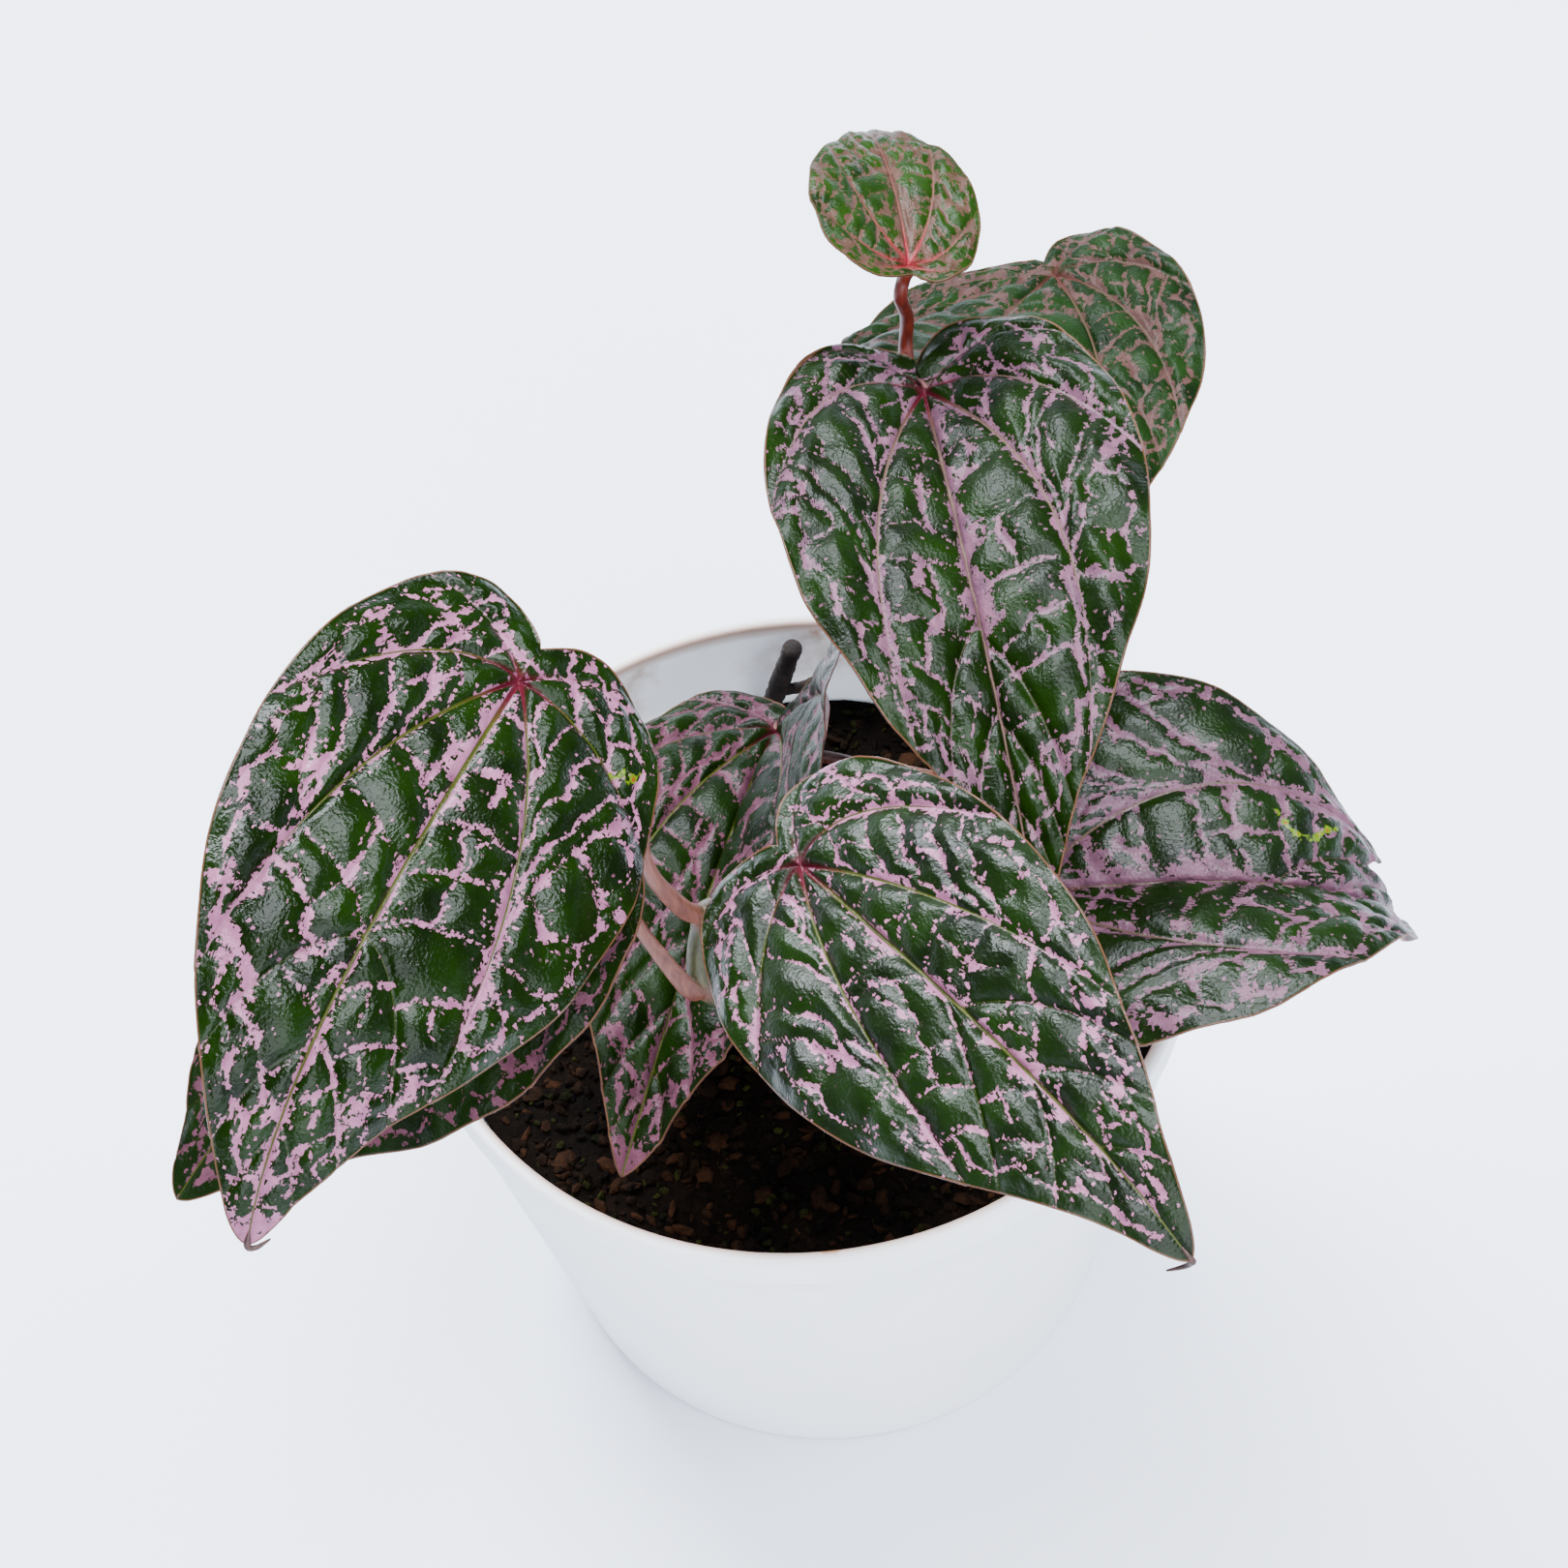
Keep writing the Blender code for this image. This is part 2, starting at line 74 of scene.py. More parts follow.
# Potting mix: level at the wall and crown in the middle, its crumbs as waves of pitch and height, and
# its tones as the least and the spread
SOIL_LEVEL = 68.0
SOIL_CROWN = 1.2
SEAT_GAP = 0.3
ROOT_DEPTH = 22.0
CRUMB_WAVES = ((16.0, 0.7), (6.0, 0.5), (2.6, 0.42), (1.3, 0.3))
SOIL_RINGS = 66
SOIL_SIDES = 260
SOIL_TONES = (0.25, 0.35)
# Loose bits on the mix: how far from the wall, how uneven, widths as shares of the length, and tilt
BIT_MARGIN = 2.5
BIT_UNEVENNESS = (0.7, 1.25)
BIT_WIDTHS = (0.35, 0.9)
BIT_TILT = 0.45
# Each kind: material, number, sizes, flatness, tones, darkest and lightest colour, and lift
MIX_BITS = {
    "bark_chips": ("shredded_pine_bark", 1000, (1.3, 4.2), (0.25, 0.5), (0.2, 1.0),
                   "#070402", "#2e1b0e", 0.08),
    "peat_crumbs": ("crumbled_peat", 2600, (0.7, 2.4), (0.5, 0.9), (0.1, 0.9),
                    "#030201", "#1a0f07", 0.16),
    "moss_bits": ("grown_cushion_moss", 700, (0.8, 2.2), (0.5, 0.9), (0.2, 1.0),
                  "#050601", "#25270b", 0.18),
}
# Corners and faces of the icosahedron that each bit starts from
GOLDEN = (1 + math.sqrt(5)) / 2
BIT_CORNERS = (
    (-1, GOLDEN, 0), (1, GOLDEN, 0), (-1, -GOLDEN, 0), (1, -GOLDEN, 0), (0, -1, GOLDEN), (0, 1, GOLDEN),
    (0, -1, -GOLDEN), (0, 1, -GOLDEN), (GOLDEN, 0, -1), (GOLDEN, 0, 1), (-GOLDEN, 0, -1), (-GOLDEN, 0, 1))
BIT_FACES = (
    (0, 11, 5), (0, 5, 1), (0, 1, 7), (0, 7, 10), (0, 10, 11), (1, 5, 9), (5, 11, 4), (11, 10, 2),
    (10, 7, 6), (7, 1, 8), (3, 9, 4), (3, 4, 2), (3, 2, 6), (3, 6, 8), (3, 8, 9), (4, 9, 5), (2, 4, 11),
    (6, 2, 10), (8, 6, 7), (9, 8, 1))

# Blade outline: the half from the notch behind the hub to the tip, as shares of the length and of
# the half width
HALF_OUTLINE = (
    (-0.070, 0.00), (-0.107, 0.14), (-0.125, 0.30), (-0.115, 0.47), (-0.062, 0.70), (0.030, 0.87),
    (0.150, 0.975), (0.280, 1.00), (0.420, 0.945), (0.530, 0.84), (0.650, 0.65), (0.750, 0.465),
    (0.830, 0.315), (0.900, 0.20), (0.950, 0.125), (0.985, 0.055), (1.000, 0.00))
OUTLINE_ASPECT = 0.34
RIB_STEPS = 60

Blade = namedtuple("Blade", ("hub", "heading", "pitch", "roll", "droop", "tip_droop", "bend", "twist",
                             "folds", "curls", "length", "halves", "lobes"))

# Blades hang from their hubs: millimetres and degrees, as in the solids they replace
BLADES = {
    "leaf_left": Blade((-32.0, -21.5, 177.0), -117.5, 8, -30, 27, 44, -9, -4, (-3, 1), (-18, -5),
                       84.5, (29.0, 25.5), 5),
    "leaf_front": Blade((1.0, -39.0, 153.5), -60, 14, 28, 14, 36, 5.5, -1, (6.5, 4.5), (-19, -11.5),
                        78.0, (21.5, 24.0), -2),
    "leaf_center": Blade((26.5, 33.5, 162.0), -87.5, 11.5, 3.5, 31, 18, 1, -2.5, (19, 19), (-23, -13),
                         86.0, (27.0, 25.0), 5),
    "leaf_right": Blade((31.0, -33.5, 132.5), -11, 14.5, 13.5, 42, 52, 17, -29, (25, 26.5), (-15, -36),
                        62.0, (30.0, 26.0), 5),
    "leaf_young": Blade((26.0, 40.0, 181.0), 88.5, 4.5, 14.5, 22, 20, 11, -8.5, (16, 15), (-7, -6),
                        36.5, (13.5, 11.0), 16),
    "leaf_back": Blade((50.7, 74.5, 140.0), -76.5, 18.5, -6, 20, 26, -30, -17.5, (16.5, -1), (3, -8),
                       61.0, (17.0, 37.0), 4),
    "leaf_under": Blade((-30.5, -29.5, 152.0), -166, -17.5, 0, 21, 3, 20.5, -9.5, (4, 4), (-9.5, -15.5),
                        74.0, (29.0, 25.0), 4),
    "leaf_low": Blade((0.0, 31.5, 91.0), -112.5, 16, 24, 53.5, -20.5, -1, -36.5, (28.5, 21), (30.5, -2),
                      80.0, (29.0, 24.0), -4),
}

# Main veins of half a blade, from the notch to the tip: where each leaves the midrib, the point that
# bends it, both as shares of length and half width, and the share of the margin where it ends
NOTCH = (0.0, (-0.035, 0.0), 0.0)
TIP = (1.0, (1.0, 0.0), 1.0)
VEINS = (
    (0.0, (-0.090, 0.24), 0.185),
    (0.0, (-0.020, 0.50), 0.420),
    (0.0, (0.230, 0.52), 0.730),
    (0.48, (0.560, 0.32), 0.805),
    (0.62, (0.690, 0.22), 0.870),
    (0.79, (0.830, 0.12), 0.935),
)
RIGHT_VEINS = (
    *VEINS[:3],
    (0.52, (0.600, 0.30), 0.820),
    (0.67, (0.735, 0.19), 0.885),
    (0.83, (0.860, 0.10), 0.945),
)
# The same for the four blades that the photograph shows best; side 0 is left of the way to the tip
OWN_VEINS = {
    "leaf_left": (
        ((0.0, (-0.140, 0.29), 0.188), (0.0, (-0.030, 0.415), 0.310), (0.0, (0.250, 0.62), 0.745),
         (0.50, (0.530, 0.30), 0.800), (0.66, (0.700, 0.18), 0.870), (0.80, (0.835, 0.10), 0.935)),
        ((0.0, (-0.085, 0.225), 0.180), (0.0, (-0.030, 0.465), 0.430), (0.0, (0.255, 0.555), 0.713),
         (0.50, (0.560, 0.36), 0.790), (0.68, (0.730, 0.20), 0.875), (0.82, (0.855, 0.10), 0.940))),
    "leaf_front": (
        ((0.0, (-0.180, 0.29), 0.188), (0.0, (-0.050, 0.505), 0.430), (0.0, (0.260, 0.465), 0.705),
         (0.44, (0.515, 0.37), 0.755), (0.60, (0.660, 0.275), 0.820), (0.77, (0.815, 0.175), 0.888)),
        ((0.0, (-0.120, 0.25), 0.188), (0.0, (-0.010, 0.35), 0.385), (0.0, (0.210, 0.445), 0.720),
         (0.40, (0.530, 0.20), 0.765), (0.60, (0.700, 0.095), 0.835), (0.77, (0.820, 0.10), 0.920))),
    "leaf_center": (
        ((0.0, (-0.120, 0.44), 0.230), (0.0, (-0.010, 0.54), 0.440), (0.0, (0.340, 0.795), 0.835),
         (0.56, (0.640, 0.22), 0.880), (0.70, (0.760, 0.14), 0.922), (0.84, (0.870, 0.08), 0.960)),
        ((0.0, (-0.170, 0.33), 0.188), (0.0, (-0.100, 0.62), 0.440), (0.0, (0.330, 0.68), 0.790),
         (0.52, (0.600, 0.28), 0.850), (0.68, (0.740, 0.18), 0.905), (0.82, (0.855, 0.10), 0.950))),
    "leaf_right": (
        (*VEINS[:2], (0.0, (0.375, 0.76), 0.875),
         (0.55, (0.650, 0.22), 0.910), (0.70, (0.780, 0.12), 0.940), (0.84, (0.880, 0.06), 0.965)),
        RIGHT_VEINS),
}
# Fullness of the pink beside the main veins of each side, and of the pink net
PINK = {
    "leaf_left": (0.88, 0.88, 0.86), "leaf_front": (0.8, 0.76, 0.6), "leaf_center": (0.92, 0.92, 0.74),
    "leaf_right": (1.5, 1.15, 1.4), "leaf_young": (1.7, 1.7, 1.75), "leaf_back": (1.2, 1.2, 1.2),
    "leaf_under": (1.0, 1.0, 1.0), "leaf_low": (1.3, 1.0, 1.1),
}
# Least pink beside the midrib of a side, where it isn't MIDRIB_LEAST
MIDRIB_PINK = {("leaf_left", 0): 0.12, ("leaf_left", 1): 0.18, ("leaf_right", 0): 0.55,
               ("leaf_young", 0): 0.5, ("leaf_young", 1): 0.5}
# Marks of single leaves: scars as lines of shares of length and half width, nicks in the margin of a
# side as place in shares, depth in mm and width in shares, and how many mm of the tip are all pink
SCARS = {
    "leaf_left": ((0.024, 0.575), (0.014, 0.62), (0.006, 0.665), (-0.006, 0.70)),
    "leaf_right": ((0.555, 0.33), (0.585, 0.26), (0.61, 0.22), (0.645, 0.25), (0.70, 0.30)),
}
NICKS = {("leaf_left", 0): (0.196, 1.4, 0.008), ("leaf_right", 0): (0.915, 4.2, 0.016)}
PINK_TIPS = {"leaf_left": 7.0, "leaf_low": 6.0}
TIP_SOFTNESS = 1.5
TIP_SHARE = 0.7
NO_SCAR = 9.0
# Dried drip tips: routes from the blade's tip, in millimetres
DRIP_TIPS = {
    "leaf_left": ((0.0, 0.0, 0.0), (0.9, 0.0, -0.5), (2.0, 0.3, -0.2), (2.9, 0.5, 0.3)),
    "leaf_front": ((0.0, 0.3, 0.0), (0.0, 0.5, -0.9), (-0.5, 0.7, -1.9), (-1.6, 0.8, -2.5),
                   (-3.0, 0.9, -2.9)),
}
DRIP_RADIUS = 0.5
DRIP_ROOT = 2.2
# Pink half width in millimetres beside the midrib and each of those veins, and their green lines
MIDRIB_BAND = 1.3
VEIN_BANDS = (0.4, 0.65, 0.9, 0.5, 0.45, 0.35)
MIDRIB_LINE = 0.34
VEIN_LINES = (0.0, 0.17, 0.24, 0.02, 0.0, 0.0)
LINE_TAPER = 0.75
LINE_END = 0.75
LINE_FADE = 0.15
HUB_VEINS = 3
# How those bands swing: pitches in mm of the teeth, the swells and the pauses, the least and the spread
# of a band, how much a pause takes away, and under which lot it starts. Then how the bands fade at the
# hub and at their ends
TEETH_PITCH = 2.9
SWELL_PITCH = 9.0
PAUSE_PITCH = 3.3
MIDRIB_LEAST = -0.12
BAND_SWING = 3.1
PAUSE_DEPTH = 1.5
PAUSE_LOT = 0.38
PAUSE_EDGE = 0.2
HUB_FADE = 4.0
BAND_END = 1.02
BAND_TAPER = 0.2
MIDRIB_TAPER = 0.45
EDGE_SOFTNESS = 0.3

# Net between the main veins, in millimetres on a blade of RELIEF_LENGTH. Rungs cross from vein to
# vein, links join them where the gap is wide, and spurs end between them
RELIEF_LENGTH = 84.0
NET_BAND = (0.14, 0.36)
# Under each of these lots a small vein's pink is wider by this much
BLOTS = ((0.22, 0.35), (0.06, 0.45))
RUNG_PITCH = 7.8
RUNG_STEP = 2.3
RUNG_BOW = 0.10
RUNG_WANDER = 0.42
RUNG_STRAY = 0.22
RUNG_SLANT = 0.02
RUNG_ENDS = (0.03, 0.97)
SHORTEST_RUNG = 2.2
LINK_GAP = 9.0
LINK_CHANCE = 0.45
LINK_BOW = 0.06
SPUR_GAP = 6.0
SPUR_CHANCE = 0.7
SPUR_ROOT = (0.3, 0.7)
SPUR_REACH = 0.55
SPUR_BAND = (0.05, 0.35)
SPUR_LIFT = 1.4
# Loops that follow the margin, feeders to them, and threads from them to the margin
LOOP_PITCH = 4.4
LOOP_DEPTHS = (2.3, 4.3)
LOOP_STRAY = 0.25
LOOP_SPREAD = (0.75, 1.25)
LOOP_CLEAR = 0.8
LOOP_BOW = 0.08
LOOP_BAND = (0.08, 0.36)
LOOP_CALM = 0.7
THREAD_BAND = (-0.15, 0.22)
THREAD_CALM = 0.6
FEEDER_REACH = 9.0
FEEDER_BOW = 0.1

# Mesh fineness in millimetres, how the margin and the midrib share in it, and the blade's section
ROW_PITCH = 0.85
COLUMNS = 84
MARGIN_LENGTH = 1.35
MIDRIB_SHARE = 0.8
ROWS_PER_VEIN = 4
FINE_STEPS = 240
MIDDLE_THICKNESS = 0.46
MARGIN_THICKNESS = 0.24
THICK_FROM = 4.0
UNDER_RIB = 0.45
UNDER_RIB_WIDTH = 0.7
UNDER_RIB_FROM = 6.0
FAR = 1e9

# Quilting: height of the pillows and how far from the veins their tops lie. It fades at the margin and
# calms down over the last veins before the tip
QUILT_HEIGHT = 1.6
MAIN_SPAN = 5.5
NET_SPAN = 3.8
CELL_SPAN = 1.5
MAIN_PART = 0.45
VEIN_GROOVE = 0.15
GROOVE_WIDTH = 0.45
QUILT_FROM_EDGE = 2.5
LEAST_QUILT = 0.2
CALM_VEINS = 1.5
MARGIN_WAVE = 0.7
WAVES_PER_SIDE = 6
SIDE_WAVE_SHIFT = 0.3
PUCKERS = ((4.5, 0.09), (2.1, 0.03))
# Patterns of the leaf's skin in millimetres: teeth of the pink with their reach, patches of green and
# of pink, teeth of a scar, grain and puckers. Each face has its own place in them, this far apart
PINK_TEETH = ((0.85, 0.42), (0.42, 0.27))
GREEN_PATCH = 7.0
PINK_PATCH = 2.5
SCAR_TEETH = 1.25
LEAF_GRAIN = 0.5
LEAF_PUCKER = 1.7
FACE_STEP = 20.0

# Stems
STEM_RADIUS = 2.1
STEM_TIP_RADIUS = 1.5
JOINT_SWELL = 0.55
JOINT_SPAN = 2.2
JOINT_FREE_HEIGHT = 4.0
STEMS = {
    "stem_front": ((6, -16, SOIL_LEVEL), (6, -16.5, 74), (3, -24, 90), (-5, -28.5, 103),
                   (-14.6, -28.5, 113), (-13.2, -24.5, 123), (-8.5, -27.5, 130.5)),
    "stem_back": ((22, 12, SOIL_LEVEL), (22.4, 12, 74), (27, 12, 90), (29, 13, 110), (28.5, 15, 127),
                  (27, 22, 143), (25, 35, 154)),
}
JOINTS = {"stem_front": (90.0, 113.0, 124.0), "stem_back": (84.0, 96.0, 108.0, 121.0, 136.0, 154.0)}
PETIOLE_BASE_RADIUS = 1.5
PETIOLE_HUB_RADIUS = 1.0
PETIOLE_TAPER_SHARE = 0.4
HUB_FLARE = 0.35
HUB_FLARE_SHARE = 0.04
HUB_APPROACH = 5.0
HUB_KNEE_BACK = 1.0
# Steps along the stems and petioles, their sides, and how wide the skin's colours blend in mm
STEM_STEP = 0.7
PETIOLE_STEP = 0.9
STEM_SIDES = 24
PETIOLE_SIDES = 18
SKIN_BLEND = 2.0
JOINT_RING = 1.3
JOINT_REACH = 1.2
JOINT_STRENGTH = 0.75
PETIOLES = {
    "stem_front": {
        "leaf_under": ((-14.6, -28.5, 113), (-16.6, -30.5, 115), (-20.9, -30, 127), (-23.5, -29.5, 136)),
        "leaf_left": ((-13.2, -24.5, 124), (-16, -27.5, 131), (-19.5, -30, 145.5), (-19.5, -27, 159),
                      (-25, -23, 169)),
        "leaf_front": ((-8.5, -27.5, 130.5), (-4, -31.5, 137), (-0.5, -35, 144)),
    },
    "stem_back": {
        "leaf_low": ((27.5, 12.3, 96), (20, 15, 97.5), (12.4, 20, 95), (6.8, 27, 89)),
        "leaf_right": ((28.8, 13.5, 108), (31.5, 2, 113), (33, -16, 120), (32, -27, 125)),
        "leaf_back": ((28.8, 14, 121), (37, 32, 124), (46, 56, 129)),
        "leaf_center": ((27.8, 18, 136), (30, 22, 144), (29.5, 28, 152)),
        "leaf_young": ((25, 35, 154), (25, 42.5, 160.5), (25.5, 42.5, 168)),
    },
}
STUB_ROUTE = ((-1, 50, SOIL_LEVEL), (-1, 50, 72), (0.5, 49, 78), (4.2, 45.5, 94))
STUB_RADIUS = 1.9
STUB_TIP_RADIUS = 1.5
TWIG_ROUTE = ((1.3, 48.4, 80), (5.0, 46.5, 82.5), (8.0, 45.6, 85.5))
TWIG_RADIUS = 1.1
TWIG_TAPER = 0.3
STUB_ROUGHNESS = (0.88, 1.1)
STUB_BUMPS = 60
TWIG_BUMPS = 40
STUB_SIDES = 20
TWIG_SIDES = 16

# Camera: the pot's rim in the photograph fixes the lens, the angles and the distance
PHOTO_SIZE = 1620
FOCAL_PIXELS = 3663.0
SENSOR = 36.0
CAMERA_ELEVATION = 53.26
CAMERA_ROLL = -7.10
RIM_DEPTH = 541.7
RIM_PIXEL = (826.2, 948.1)
NEAREST_SIGHT = 0.05

# Lights: place and width in metres, and power in watts
LIGHTS = {
    "window_light": ((-0.35, 0.85, 1.25), 0.75, 80.0),
    "overhead_light": ((0.35, -0.15, 1.6), 1.0, 75.0),
    "fill_light": ((0.2, -1.3, 0.8), 1.2, 42.0),
}
LIGHT_TARGET = (0.0, 0.0, 0.12)
FLOOR_SIZE = 1.3


# Colour and node helpers

def colour(text):
    """Linear colour from an sRGB hex value."""
    parts = [int(text[k:k + 2], 16) / 255 for k in (1, 3, 5)]
    return (*(c / 12.92 if c <= 0.04045 else ((c + 0.055) / 1.055) ** 2.4 for c in parts), 1.0)


def per(size):
    """Scale of a texture in object space, whose pattern has this size in millimetres."""
    return 1.0 / (size * MM)


def unit(values):
    """Values kept between 0 and 1."""
    return np.clip(values, 0.0, 1.0)


def connect(tree, node, inputs):
    """Set sockets: each to a value, to a hex colour, or to the node or output that feeds it."""
    for key, value in dict(inputs).items():
        if isinstance(value, bpy.types.Node):
            value = next(output for output in value.outputs if output.enabled)
        if isinstance(value, bpy.types.NodeSocket):
            tree.links.new(value, node.inputs[key])
        else:
            node.inputs[key].default_value = colour(value) if isinstance(value, str) else value


def add(tree, kind, inputs=(), stops=(), **settings):
    """Add a node with its settings, its sockets and the two stops of its colour ramp.

    A MapRange has the value at 0, the range it comes from at 1 and 2, and the range it goes to at 3
    and 4. A Mix of colours has the share at 0 and the colours at 6 and 7."""
    node = tree.nodes.new("ShaderNode" + kind)
    for key, value in settings.items():
        setattr(node, key, value)
    connect(tree, node, inputs)
    for k, (place, shade) in enumerate(stops):
        node.color_ramp.elements[k].position = place
        node.color_ramp.elements[k].color = colour(shade)
    return node


def new_material(name):
    """An empty procedural material: its tree and its Principled shader."""
    mat = bpy.data.materials.new(name)
    mat.use_nodes = True
    tree = mat.node_tree
    return mat, tree, tree.nodes["Principled BSDF"]


# Meshes

def piece(name, points, faces, attributes=(), mat=None):
    """A mesh object from points in millimetres, with point attributes and a material."""
    mesh = bpy.data.meshes.new(name)
    mesh.from_pydata((np.asarray(points) * MM).tolist(), [], faces)
    for key, values in dict(attributes).items():
        values = np.asarray(values, np.float32)
        kind = "FLOAT_VECTOR" if values.ndim == 2 else "FLOAT"
        slot = mesh.attributes.new(key, kind, "POINT")
        slot.data.foreach_set("vector" if values.ndim == 2 else "value", values.ravel())
    mesh.shade_smooth()
    obj = bpy.data.objects.new(name, mesh)
    bpy.context.scene.collection.objects.link(obj)
    if mat:
        mesh.materials.append(mat)
    return obj


def smooth_route(points, step):
    """Points along a smooth curve through the route's own points."""
    pts = [Vector(p) for p in points]
    pts = [pts[0] * 2 - pts[1]] + pts + [pts[-1] * 2 - pts[-2]]
    route = []
    for a, b, c, d in zip(pts, pts[1:], pts[2:], pts[3:]):
        count = max(1, round((c - b).length / step))
        for k in range(count):
            t = k / count
            route.append(0.5 * (2 * b + (c - a) * t + (2 * a - 5 * b + 4 * c - d) * t ** 2
                                + (3 * b - a - 3 * c + d) * t ** 3))
    return route + [pts[-2]]


# Blades

def outline_table():
    """The half outline as a fine line: its length share, then its two coordinates."""
    fine = smooth_route([(x, y * OUTLINE_ASPECT, 0.0) for x, y in HALF_OUTLINE], 0.01)
    real = np.array([(p.x, max(p.y, 0.0)) for p in fine])
    run = np.concatenate([[0.0], np.cumsum(np.linalg.norm(np.diff(real, axis=0), axis=1))])
    return run / run[-1], real[:, 0], real[:, 1] / OUTLINE_ASPECT


OUTLINE = outline_table()


def rib_frames(blade):
    """Places and directions along the bent midrib."""
    t = np.linspace(0.0, 1.0, RIB_STEPS + 1)
    heading = np.radians(blade.heading + blade.bend * t)
    pitch = np.radians(blade.pitch - blade.droop * t - blade.tip_droop * t ** 3)
    roll = np.radians(blade.roll + blade.twist * t)[:, None]
    level_share = np.cos(pitch)
    ahead = np.stack([level_share * np.cos(heading), level_share * np.sin(heading), np.sin(pitch)], 1)
    level = np.stack([-np.sin(heading), np.cos(heading), 0 * heading], 1)
    above = np.cross(ahead, level)
    left = np.cos(roll) * level + np.sin(roll) * above
    up = np.cos(roll) * above - np.sin(roll) * level
    steps = (ahead[1:] + ahead[:-1]) / 2 * blade.length / RIB_STEPS
    place = np.array(blade.hub) + np.vstack([np.zeros(3), np.cumsum(steps, axis=0)])
    return {"t": t, "place": place, "ahead": ahead, "left": left, "up": up}


def bend_points(blade, side, x, y, height):
    """Carry flat points of one half and their heights onto the bent blade."""
    rib = rib_frames(blade)
    share = unit(x / blade.length)

    def along_rib(key):
        return np.stack([np.interp(share, rib["t"], rib[key][:, k]) for k in range(3)], -1)

    place, ahead, left, up = (along_rib(key) for key in ("place", "ahead", "left", "up"))
    behind = np.minimum(x, 0.0)
    lift = math.radians(blade.lobes)
    angle = np.radians(blade.folds[side] + blade.curls[side] * y / blade.halves[side] / 2)
    out = y * np.cos(angle) - height * np.sin(angle)
    rise = y * np.sin(angle) + height * np.cos(angle)
    sign = 1.0 if side == 0 else -1.0
    along = behind * math.cos(lift)
    above = rise - behind * math.sin(lift)
    return place + ahead * along[..., None] + up * above[..., None] + left * (sign * out)[..., None]


Half = namedtuple("Half", ("name", "blade", "side", "roots", "knots", "veins"))


def blade_halves(name):
    """The two halves of a blade: phases, roots, bending points and ends of their main veins."""
    left, right = OWN_VEINS.get(name, (VEINS, RIGHT_VEINS))
    left, right = (NOTCH, *left, TIP), (NOTCH, *right, TIP)
    roots = [vein[0] for vein in left]
    steps = list(range(len(roots)))
    placed = np.interp([vein[0] for vein in right[HUB_VEINS + 1:]], roots[HUB_VEINS:], steps[HUB_VEINS:])
    knots = (steps, steps[:HUB_VEINS + 1] + placed.tolist())
    return [Half(name, BLADES[name], side, roots, knots[side], (left, right)[side]) for side in (0, 1)]


def flat_rows(half, phases, across):
    """Flat x and y in mm of rows that run from the midrib to the margin; main veins at the knots."""
    root = np.interp(phases, np.arange(len(half.roots)), half.roots)[:, None]
    bend_x, bend_y, share = (np.interp(phases, half.knots, values)[:, None] for values in (
        [v[1][0] for v in half.veins], [v[1][1] for v in half.veins], [v[2] for v in half.veins]))
    end_x = np.interp(share, OUTLINE[0], OUTLINE[1])
    end_y = np.interp(share, OUTLINE[0], OUTLINE[2])
    a = across[None, :]
    if (half.name, half.side) in NICKS:
        place, depth, width = NICKS[half.name, half.side]
        reach = np.hypot((end_x - root) * half.blade.length, end_y * half.blade.halves[half.side])
        a = a * (1.0 - depth / np.maximum(reach, depth) * np.exp(-((share - place) / width) ** 2))
    x = (1 - a) ** 2 * root + 2 * a * (1 - a) * bend_x + a ** 2 * end_x
    y = 2 * a * (1 - a) * bend_y + a ** 2 * end_y
    return x * half.blade.length, y * half.blade.halves[half.side]


def row_phases(halves):
    """Phases of the mesh's rows: every main vein is a row, and the rows between keep the pitch."""
    length = halves[0].blade.length
    marks = sorted({round(knot, 6) for half in halves for knot in half.knots})
    phases = [0.0]
    for low, high in zip(marks, marks[1:]):
        ends = np.interp((low, high), halves[0].knots, [vein[2] for vein in halves[0].veins])
        roots = np.interp((low, high), halves[0].knots, halves[0].roots)
        at_margin = (ends[1] - ends[0]) * MARGIN_LENGTH * length
        at_midrib = MIDRIB_SHARE * (roots[1] - roots[0]) * length
        count = max(2, round(max(at_margin, at_midrib) / ROW_PITCH), round(ROWS_PER_VEIN * (high - low)))
        phases += [low + (j + 1) * (high - low) / count for j in range(count)]
    return np.array(phases)


def line_distance(points, line):
    """Distance in mm from flat points to a line, how far along it, and on which side."""
    best = np.full(len(points), FAR)
    along = np.zeros(len(points))
    sign = np.ones(len(points))
    run = 0.0
    for a, b in zip(line, line[1:]):
        span = b - a
        length = np.hypot(*span)
        if length == 0.0:
            continue
        rel = points - a
        t = unit(rel @ span / length ** 2)
        gap = np.hypot(*(rel - t[:, None] * span).T)
        near = gap < best
        best[near] = gap[near]
        along[near] = run + t[near] * length
        sign[near] = np.sign(span[0] * rel[near, 1] - span[1] * rel[near, 0])
        run += length
    return best, along, sign


def wander(rng, along, pitch):
    """Smooth random values from 0 to 1 along a line, with knots this far apart in mm."""
    knots = rng.random(int(along.max() / pitch) + 3)
    return np.interp(along / pitch, np.arange(len(knots)), knots)


def both_sides(rng, sign, along, pitch):
    """Smooth random values along a line, drawn anew for each of its sides."""
    return np.where(sign > 0, wander(rng, along, pitch), wander(rng, along, pitch))


def at_share(line, share):
    """Point at a share of a line's length."""
    run = np.concatenate([[0.0], np.cumsum(np.hypot(*np.diff(line, axis=0).T))])
    return np.array([np.interp(share * run[-1], run, line[:, k]) for k in (0, 1)])


def line_length(line):
    """Length of a line of flat points."""
    return float(np.hypot(*np.diff(line, axis=0).T).sum())


